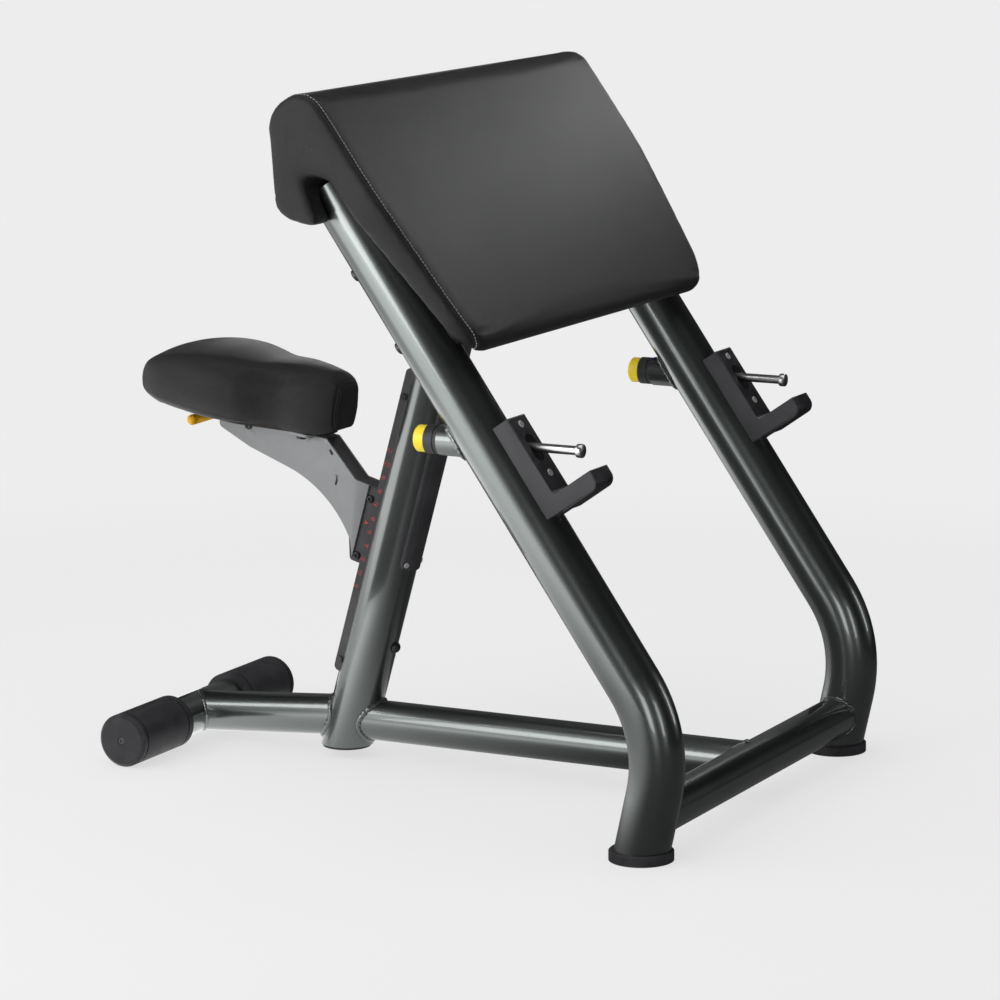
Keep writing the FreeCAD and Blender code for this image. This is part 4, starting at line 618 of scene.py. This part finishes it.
vinyl, vinyl_shader, at = finish("black_vinyl", specular_ior_level=0.36,
                                 sheen_weight=0.05, sheen_roughness=0.4)
pebble = at.cells(820, "DISTANCE_TO_EDGE").ease(0.0, 0.22)
fine = at.noise(2600.0, 3.0)
worn = at.noise(7.0, 4.0, 0.55)
feed(vinyl_shader, "Base Color", (pebble * 0.5 + worn * 0.5).tint(VINYL_DARK, VINYL_PALE))
feed(vinyl_shader, "Roughness", (worn * 0.6 + pebble * 0.2 + fine * 0.2).ease(0.25, 0.75, 0.40, 0.31))
raise_grain(vinyl_shader, pebble + fine * 0.5 + at.noise(90.0, 2.0) * 0.8, 0.00022)

thread, thread_shader, at = finish("grey_thread", roughness=0.7, sheen_weight=0.3)
feed(thread_shader, "Base Color", at.noise(5200.0).tint((0.26, 0.26, 0.265), (0.40, 0.40, 0.405)))
raise_grain(thread_shader, at.noise(6000.0), 0.0001)


def leg_place(x, along, out):
    return KNEE + Vector((x, 0, 0)) + LEG_UP * along + LEG_OUT * out


def sewn_line(points, target, closed=False):
    """A line of mesh edges through given points, laid on a cushion's skin."""
    curve = bpy.data.curves.new("sewn_line", "CURVE")
    curve.dimensions = "3D"
    spline = curve.splines.new("NURBS")
    spline.points.add(len(points) - 1)
    for point, place in zip(spline.points, points):
        point.co = (*place, 1)
    spline.use_cyclic_u = closed
    spline.use_endpoint_u = not closed
    spline.order_u = 3
    spline.resolution_u = 12
    line = bpy.data.objects.new("sewn_line", curve)
    bpy.context.scene.collection.objects.link(line)
    only(line)
    bpy.ops.object.convert(target="MESH")
    lay = line.modifiers.new("lay", "SHRINKWRAP")
    lay.target = target
    settle(line, lay)
    return line


def stuffed(cushion, voxel, shrink, cap, seams, is_held):
    """Swells a cushion like foam in a tight cover, held at its seams and where it is fixed."""
    remesh = cushion.modifiers.new("remesh", "REMESH")
    remesh.mode = "VOXEL"
    remesh.voxel_size = voxel
    settle(cushion, remesh)
    smooth = cushion.modifiers.new("smooth", "SMOOTH")
    smooth.factor = 0.5
    smooth.iterations = 2
    settle(cushion, smooth)
    tree = kdtree.KDTree(sum(len(seam.data.vertices) for seam in seams))
    for seam in seams:
        for vertex in seam.data.vertices:
            tree.insert(vertex.co, 0)
    tree.balance()
    free = cushion.vertex_groups.new(name="free")
    held = cushion.vertex_groups.new(name="held")
    for vertex in cushion.data.vertices:
        near = tree.find(vertex.co)[2]
        fixed = is_held(vertex.co, vertex.normal)
        if fixed or near < voxel * 0.75:
            held.add([vertex.index], 1.0, "REPLACE")
        if not fixed:
            free.add([vertex.index], 1.0, "REPLACE")
    pull_in = cushion.modifiers.new("pull_in", "DISPLACE")
    pull_in.mid_level = 0
    pull_in.strength = -shrink
    pull_in.vertex_group = "free"
    settle(cushion, pull_in)
    before = [vertex.co.copy() for vertex in cushion.data.vertices]
    cloth = cushion.modifiers.new("cloth", "CLOTH")
    cloth.settings.use_pressure = True
    cloth.settings.uniform_pressure_force = FOAM_PRESSURE
    cloth.settings.vertex_group_mass = "held"
    cloth.settings.effector_weights.gravity = 0
    cloth.point_cache.frame_end = FOAM_STEPS
    for moment in range(1, FOAM_STEPS + 1):
        bpy.context.scene.frame_set(moment)
    settle(cushion, cloth)
    bpy.context.scene.frame_set(1)
    for vertex, start in zip(cushion.data.vertices, before):
        move = vertex.co - start
        if move.length > cap:
            vertex.co = start + move * (cap / move.length)
    cushion.vertex_groups.clear()
    finer = cushion.modifiers.new("finer", "SUBSURF")
    finer.levels = 1
    finer.render_levels = 1
    settle(cushion, finer)
    inward = [vertex.normal.copy() for vertex in cushion.data.vertices]
    for vertex, normal in zip(cushion.data.vertices, inward):
        near = tree.find(vertex.co)[2]
        if near < SEAM_REACH:
            vertex.co -= normal * (SEAM_DEPTH * (1 - (near / SEAM_REACH) ** 2) ** 2)
    bpy.ops.object.shade_smooth()


def stitched(path, name):
    """A row of short stitches along a line."""
    only(path)
    bpy.ops.object.convert(target="CURVE")
    bpy.ops.object.select_all(action="DESELECT")
    bpy.ops.mesh.primitive_uv_sphere_add(segments=6, ring_count=5, radius=1)
    stitch = bpy.context.object
    stitch.data.transform(Matrix.Diagonal((STITCH_LENGTH / 2, STITCH_R, STITCH_R, 1)))
    row = stitch.modifiers.new("row", "ARRAY")
    row.fit_type = "FIT_CURVE"
    row.curve = path
    row.use_relative_offset = False
    row.use_constant_offset = True
    row.constant_offset_displace = (STITCH_PITCH, 0, 0)
    settle(stitch, row)
    follow = stitch.modifiers.new("follow", "CURVE")
    follow.object = path
    settle(stitch, follow)
    bpy.data.objects.remove(path)
    bpy.ops.object.shade_smooth()
    stitch.name = name
    stitch.data.name = name
    return stitch


def pad_seam_points(sign, aside):
    return [leg_place(sign * (x - aside), along, out) for along, x, out in PAD_SEAM]


def pad_is_held(place, normal):
    """Where the pad lies on the board or hugs a leg tube."""
    local = place - KNEE
    along = local.dot(LEG_UP)
    out = local.dot(LEG_OUT)
    by_leg = math.hypot(abs(place.x) - LEG_X, out) < LEG_HUG
    under = normal.dot(LEG_OUT) < -0.5 and along < ROLL_START
    return by_leg or under


arm_pad = copied("arm_pad", "arm_pad_cushion")
rough_seams = [sewn_line(pad_seam_points(sign, 0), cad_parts["arm_pad"]) for sign in (-1, 1)]
stuffed(arm_pad, PAD_VOXEL, PAD_SHRINK, PAD_CAP, rough_seams, pad_is_held)
for seam in rough_seams:
    bpy.data.objects.remove(seam)
arm_pad.data.materials.append(vinyl)
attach(arm_pad, "frame")
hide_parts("arm_pad")

pad_welts = joined([thickened(sewn_line(pad_seam_points(sign, 0), arm_pad), WELT_R) for sign in (-1, 1)],
                   "arm_pad_welts")
pad_welts.data.materials.append(vinyl)
pad_stitches = joined([stitched(sewn_line(pad_seam_points(sign, STITCH_ASIDE), arm_pad), "stitches")
                       for sign in (-1, 1)], "arm_pad_stitches")
pad_stitches.data.materials.append(thread)
for trim in (pad_welts, pad_stitches):
    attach(trim, "frame")


# Bar cradles: moulded charcoal hooks on the front of the legs, with a black rubber liner
# and a black rubber shoe on the arm. Two socket screws hold each to its leg.
HOOK_EDGE = 0.0022
SHOE_EDGE = 0.0020
CRADLE_FACE = 0.05705
CRADLE_SCREWS = (0.3835, 0.4597)
CRADLE_SCREW = (0.0054, 0.0018, 0.0023)

shoe_rubber, shoe_shader, at = finish("black_shoe_rubber", specular_ior_level=0.3)
scuffs = at.noise(60.0, 5.0, 0.6)
feed(shoe_shader, "Base Color", scuffs.ease(0.35, 0.7).tint((0.014, 0.014, 0.016), (0.028, 0.027, 0.031)))
feed(shoe_shader, "Roughness", scuffs.ease(0.3, 0.7, 0.36, 0.50))
raise_grain(shoe_shader, at.noise(1700.0, 2.0), 0.00010)
coat(shoe_rubber, "brake_pad")
for side in ("left", "right"):
    eased(side + "_bar_cradle", side + "_cradle_hook", HOOK_EDGE, charcoal, "frame",
          long_rims=True)
    eased(side + "_cradle_tip", side + "_cradle_shoe", SHOE_EDGE, shoe_rubber, "frame")
coat(shoe_rubber, *pair("cradle_liner"))

cradle_places = [(leg_place(sign * LEG_X, along, CRADLE_FACE), LEG_OUT)
                 for sign in (-1, 1) for along in CRADLE_SCREWS]
socket_screws("cradle_socket_screws", "cradle_screws", cradle_places, CRADLE_SCREW, zinc, "frame")


# Bar pegs: satin chromed pins that slide through the legs, each with a flanged head in
# front, a grooved black bush and a glossy yellow knob behind.
PIN_EDGE = 0.0014

chrome, chrome_shader, at = finish("bright_chrome", metallic=1.0, base_color=(0.55, 0.55, 0.56, 1))
feed(chrome_shader, "Roughness", at.noise(9.0, 2.0).ease(0.3, 0.75, 0.27, 0.32))
for side in ("left", "right"):
    eased(side + "_peg_pin", side + "_peg_bar", PIN_EDGE, chrome, side + "_peg")

yellow, yellow_shader, at = finish("yellow_plastic", specular_ior_level=0.5, subsurface_weight=0.05)
feed(yellow_shader, "Base Color", at.noise(70.0, 3.0).tint((0.86, 0.62, 0.016), (0.94, 0.71, 0.026)))
feed(yellow_shader, "Roughness", at.noise(200.0).ease(0.3, 0.7, 0.30, 0.42))
raise_grain(yellow_shader, at.noise(900.0), 0.00005)
coat(yellow, *pair("peg_knob"))


# Seat carriage: two light grey steel plates with black followers that run against the
# rail, a bent strip over the gap, and a plate under the seat board. A small tongue stands
# out of each side plate.
STEEL_PALE = (0.250, 0.258, 0.261)
STEEL_DEEP = (0.190, 0.197, 0.200)
PLATE_SIDE = 0.016
PLATE_OUTSIDE = 0.020
PLATE_EDGE = 0.0012
STRIP_EDGE = 0.0007
TONGUE = (0.0050, 0.0042, 0.0075)
TONGUE_AT = (0.2026, 0.4200)
TONGUE_EDGE = 0.0012
GLIDE_BOLTS = (0.304, 0.3935)
GLIDE_BOLT_BACK = RAIL_REAR + 0.011
GLIDE_BOLT = (0.00575, 0.0034, 0.0030)

grey_paint, grey_shader, at = finish("light_grey_paint", metallic=0.3)
speck = at.cells(1500).ease(0.1, 0.5, 1.0, 0.0)
feed(grey_shader, "Base Color", (speck * 0.5 + at.noise(12.0, 3.0) * 0.4).tint(STEEL_DEEP, STEEL_PALE))
feed(grey_shader, "Roughness", at.noise(80.0).ease(0.3, 0.7, 0.36, 0.44))
raise_grain(grey_shader, at.noise(500.0) + speck * 0.2, 0.00006)
coat(grey_paint, "mount_plate")
for side in ("left", "right"):
    eased(side + "_side_plate", side + "_carriage_plate", PLATE_EDGE, grey_paint, "seat_carriage")
eased("top_strip", "carriage_strip", STRIP_EDGE, satin_black, "seat_carriage")

tongues = []
for sign in (-1, 1):
    bpy.ops.object.select_all(action="DESELECT")
    bpy.ops.mesh.primitive_cube_add(size=1)
    tongue = bpy.context.object
    stand_out = Matrix.Translation((sign * PLATE_OUTSIDE, *TONGUE_AT))
    tongue.data.transform(stand_out @ Matrix.Diagonal((*TONGUE, 1)))
    bpy.ops.object.mode_set(mode="EDIT")
    bpy.ops.mesh.select_all(action="SELECT")
    bpy.ops.mesh.bevel(offset=TONGUE_EDGE, segments=3, affect="EDGES")
    bpy.ops.object.mode_set(mode="OBJECT")
    bpy.ops.object.shade_smooth()
    tongues.append(tongue)
plate_tongues = joined(tongues, "plate_tongues")
plate_tongues.data.materials.append(grey_paint)
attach(plate_tongues, "seat_carriage")

glide_places = [(column_place(sign * PLATE_SIDE, along, GLIDE_BOLT_BACK), (sign, 0, 0))
                for along in GLIDE_BOLTS for sign in (-1, 1)]
socket_screws("glide_socket_bolts", "glide_bolts", glide_places, GLIDE_BOLT, black_zinc, "seat_carriage")


# Saddle seat: moulded foam under the same black vinyl, narrow at the nose and wide behind,
# with a separate nose panel sewn in. Its skirt is drawn down over the edge of the board.
SEAT_CORNER = column_place(0, 0.4135, 0.05655)
SEAT_PITCH = math.radians(7.85)
SEAT_BACK = Vector((0, math.cos(SEAT_PITCH), math.sin(SEAT_PITCH)))
SEAT_UP = Vector((0, -math.sin(SEAT_PITCH), math.cos(SEAT_PITCH)))
SEAT_PLANE_BACK = 0.0765
SEAT_START = SEAT_CORNER + Vector((0, SEAT_PLANE_BACK, 0.0687))
SEAT_ORIGIN = SEAT_START - SEAT_BACK * (SEAT_PLANE_BACK / math.cos(SEAT_PITCH))
SEAT_VOXEL = 0.0036
SEAT_SHRINK = 0.0008
SEAT_CAP = 0.0013
NOSE_WELT_R = 0.0013
NOSE_SEAM = (
    (0.000, 0.0515, 0.0840), (0.016, 0.0515, 0.0835), (0.026, 0.0515, 0.0815), (0.0300, 0.0515, 0.0760),
    (0.0325, 0.0515, 0.0640), (0.0340, 0.0515, 0.0480), (0.0335, 0.0515, 0.0320), (0.0305, 0.0515, 0.0200),
    (0.0240, 0.0515, 0.0145), (0.0120, 0.0515, 0.0130),
)
SECTION_PITCH = 0.02
SEAT_LIP = ((0.05, 0.0), (0.10, 0.004), (0.20, 0.006), (0.28, 0.009), (0.32, 0.0125), (0.37, 0.0125))
SKIRT_RIM = (0.72, 0.86)
SKIRT_REAR = (0.268, 0.325)
SKIRT_LEVEL = (0.10, 0.75)
NOSE_RISE = 0.0065
NOSE_FROM = (0.045, 0.075)
NOSE_TO = (0.12, 0.19)
CROWN_LEVEL = (0.55, 0.95)
WAIST_TUCK = 0.085
WAIST_FROM = (0.10, 0.145)
WAIST_TO = (0.150, 0.20)
WAIST_TOP = (0.7, 1.0)
WAIST_TOP_EASE = 0.6


def seat_place(x, back, up):
    along = (back - SEAT_PLANE_BACK) / math.cos(SEAT_PITCH)
    return SEAT_START + Vector((x, 0, 0)) + SEAT_BACK * along + SEAT_UP * up


def between(table, place):
    """A value read off a table of places and values, on the straight line between two of them."""
    if place <= table[0][0]:
        return table[0][1]
    for (low, start), (high, end) in zip(table, table[1:]):
        if place <= high:
            return start + (end - start) * (place - low) / (high - low)
    return table[-1][1]


def step(low, high, value):
    share = min(max((value - low) / (high - low), 0.0), 1.0)
    return share * share * (3 - 2 * share)


def seat_sections(cushion):
    """Half widths, undersides and crowns along the saddle, read off the cushion's own skin."""
    sections = {}
    for vertex in cushion.data.vertices:
        local = vertex.co - SEAT_ORIGIN
        section = round(local.dot(SEAT_BACK) / SECTION_PITCH)
        sections.setdefault(section, []).append((abs(local.x), local.dot(SEAT_UP)))
    halves = []
    lows = []
    highs = []
    for section, points in sorted(sections.items()):
        back = section * SECTION_PITCH
        halves.append((back, max(wide for wide, up in points)))
        lows.append((back, min(up for wide, up in points)))
        highs.append((back, max(up for wide, up in points)))
    return halves, lows, highs


def sculpted(cushion, halves, lows, highs):
    """Draws the skirt down over the board's edge, fills the nose's crown and tucks in the waist."""
    for vertex in cushion.data.vertices:
        local = vertex.co - SEAT_ORIGIN
        back = local.dot(SEAT_BACK)
        low = between(lows, back)
        level = (local.dot(SEAT_UP) - low) / (between(highs, back) - low)
        wide = abs(local.x) / between(halves, back)
        rim = max(step(*SKIRT_RIM, wide), step(*SKIRT_REAR, back))
        lip = between(SEAT_LIP, back) * rim * (1 - step(*SKIRT_LEVEL, level))
        rise = NOSE_RISE * step(*NOSE_FROM, back) * (1 - step(*NOSE_TO, back)) * step(*CROWN_LEVEL, level)
        tuck = WAIST_TUCK * step(*WAIST_FROM, back) * (1 - step(*WAIST_TO, back))
        vertex.co += SEAT_UP * (rise - lip)
        vertex.co.x *= 1 - tuck * (1 - WAIST_TOP_EASE * step(*WAIST_TOP, level))


def seat_is_held(place, normal):
    """The underside, where the cushion sits on its board."""
    return normal.dot(SEAT_UP) < -0.55


nose_points = [seat_place(x, back, up) for x, back, up in NOSE_SEAM]
nose_points += [seat_place(-x, back, up) for x, back, up in reversed(NOSE_SEAM[1:])]
seat_cushion = copied("seat_cushion", "saddle_cushion")
saddle_sections = seat_sections(seat_cushion)
nose_line = sewn_line(nose_points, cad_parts["seat_cushion"], closed=True)
stuffed(seat_cushion, SEAT_VOXEL, SEAT_SHRINK, SEAT_CAP, [nose_line], seat_is_held)
bpy.data.objects.remove(nose_line)
sculpted(seat_cushion, *saddle_sections)
seat_cushion.data.materials.append(vinyl)
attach(seat_cushion, "seat_carriage")
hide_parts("seat_cushion")

nose_welt = thickened(sewn_line(nose_points, seat_cushion, closed=True), NOSE_WELT_R)
nose_welt.name = "saddle_nose_welt"
nose_welt.data.materials.append(vinyl)
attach(nose_welt, "seat_carriage")


# Release lever: an amber moulded grip on a flat steel crank, on a bolt through the side
# plates. Lifting it draws the brake pad off the rail.
LEVER_PIVOT = SEAT_CORNER + Vector((0, 0.2035, 0.0745))
PIVOT_HEAD = (0.0060, 0.0036, 0.0030)

amber, amber_shader, at = finish("amber_plastic", specular_ior_level=0.5, subsurface_weight=0.05)
feed(amber_shader, "Base Color", at.noise(70.0, 3.0).tint((0.93, 0.47, 0.004), (0.98, 0.56, 0.008)))
feed(amber_shader, "Roughness", at.noise(200.0).ease(0.3, 0.7, 0.26, 0.38))
raise_grain(amber_shader, at.noise(900.0), 0.00005)
coat(amber, "lever_grip")
pivot_places = [(LEVER_PIVOT + Vector((sign * PLATE_OUTSIDE, 0, 0)), (sign, 0, 0)) for sign in (-1, 1)]
socket_screws("lever_pivot_heads", "lever_pivot_bolt", pivot_places, PIVOT_HEAD, black_zinc, "seat_carriage")
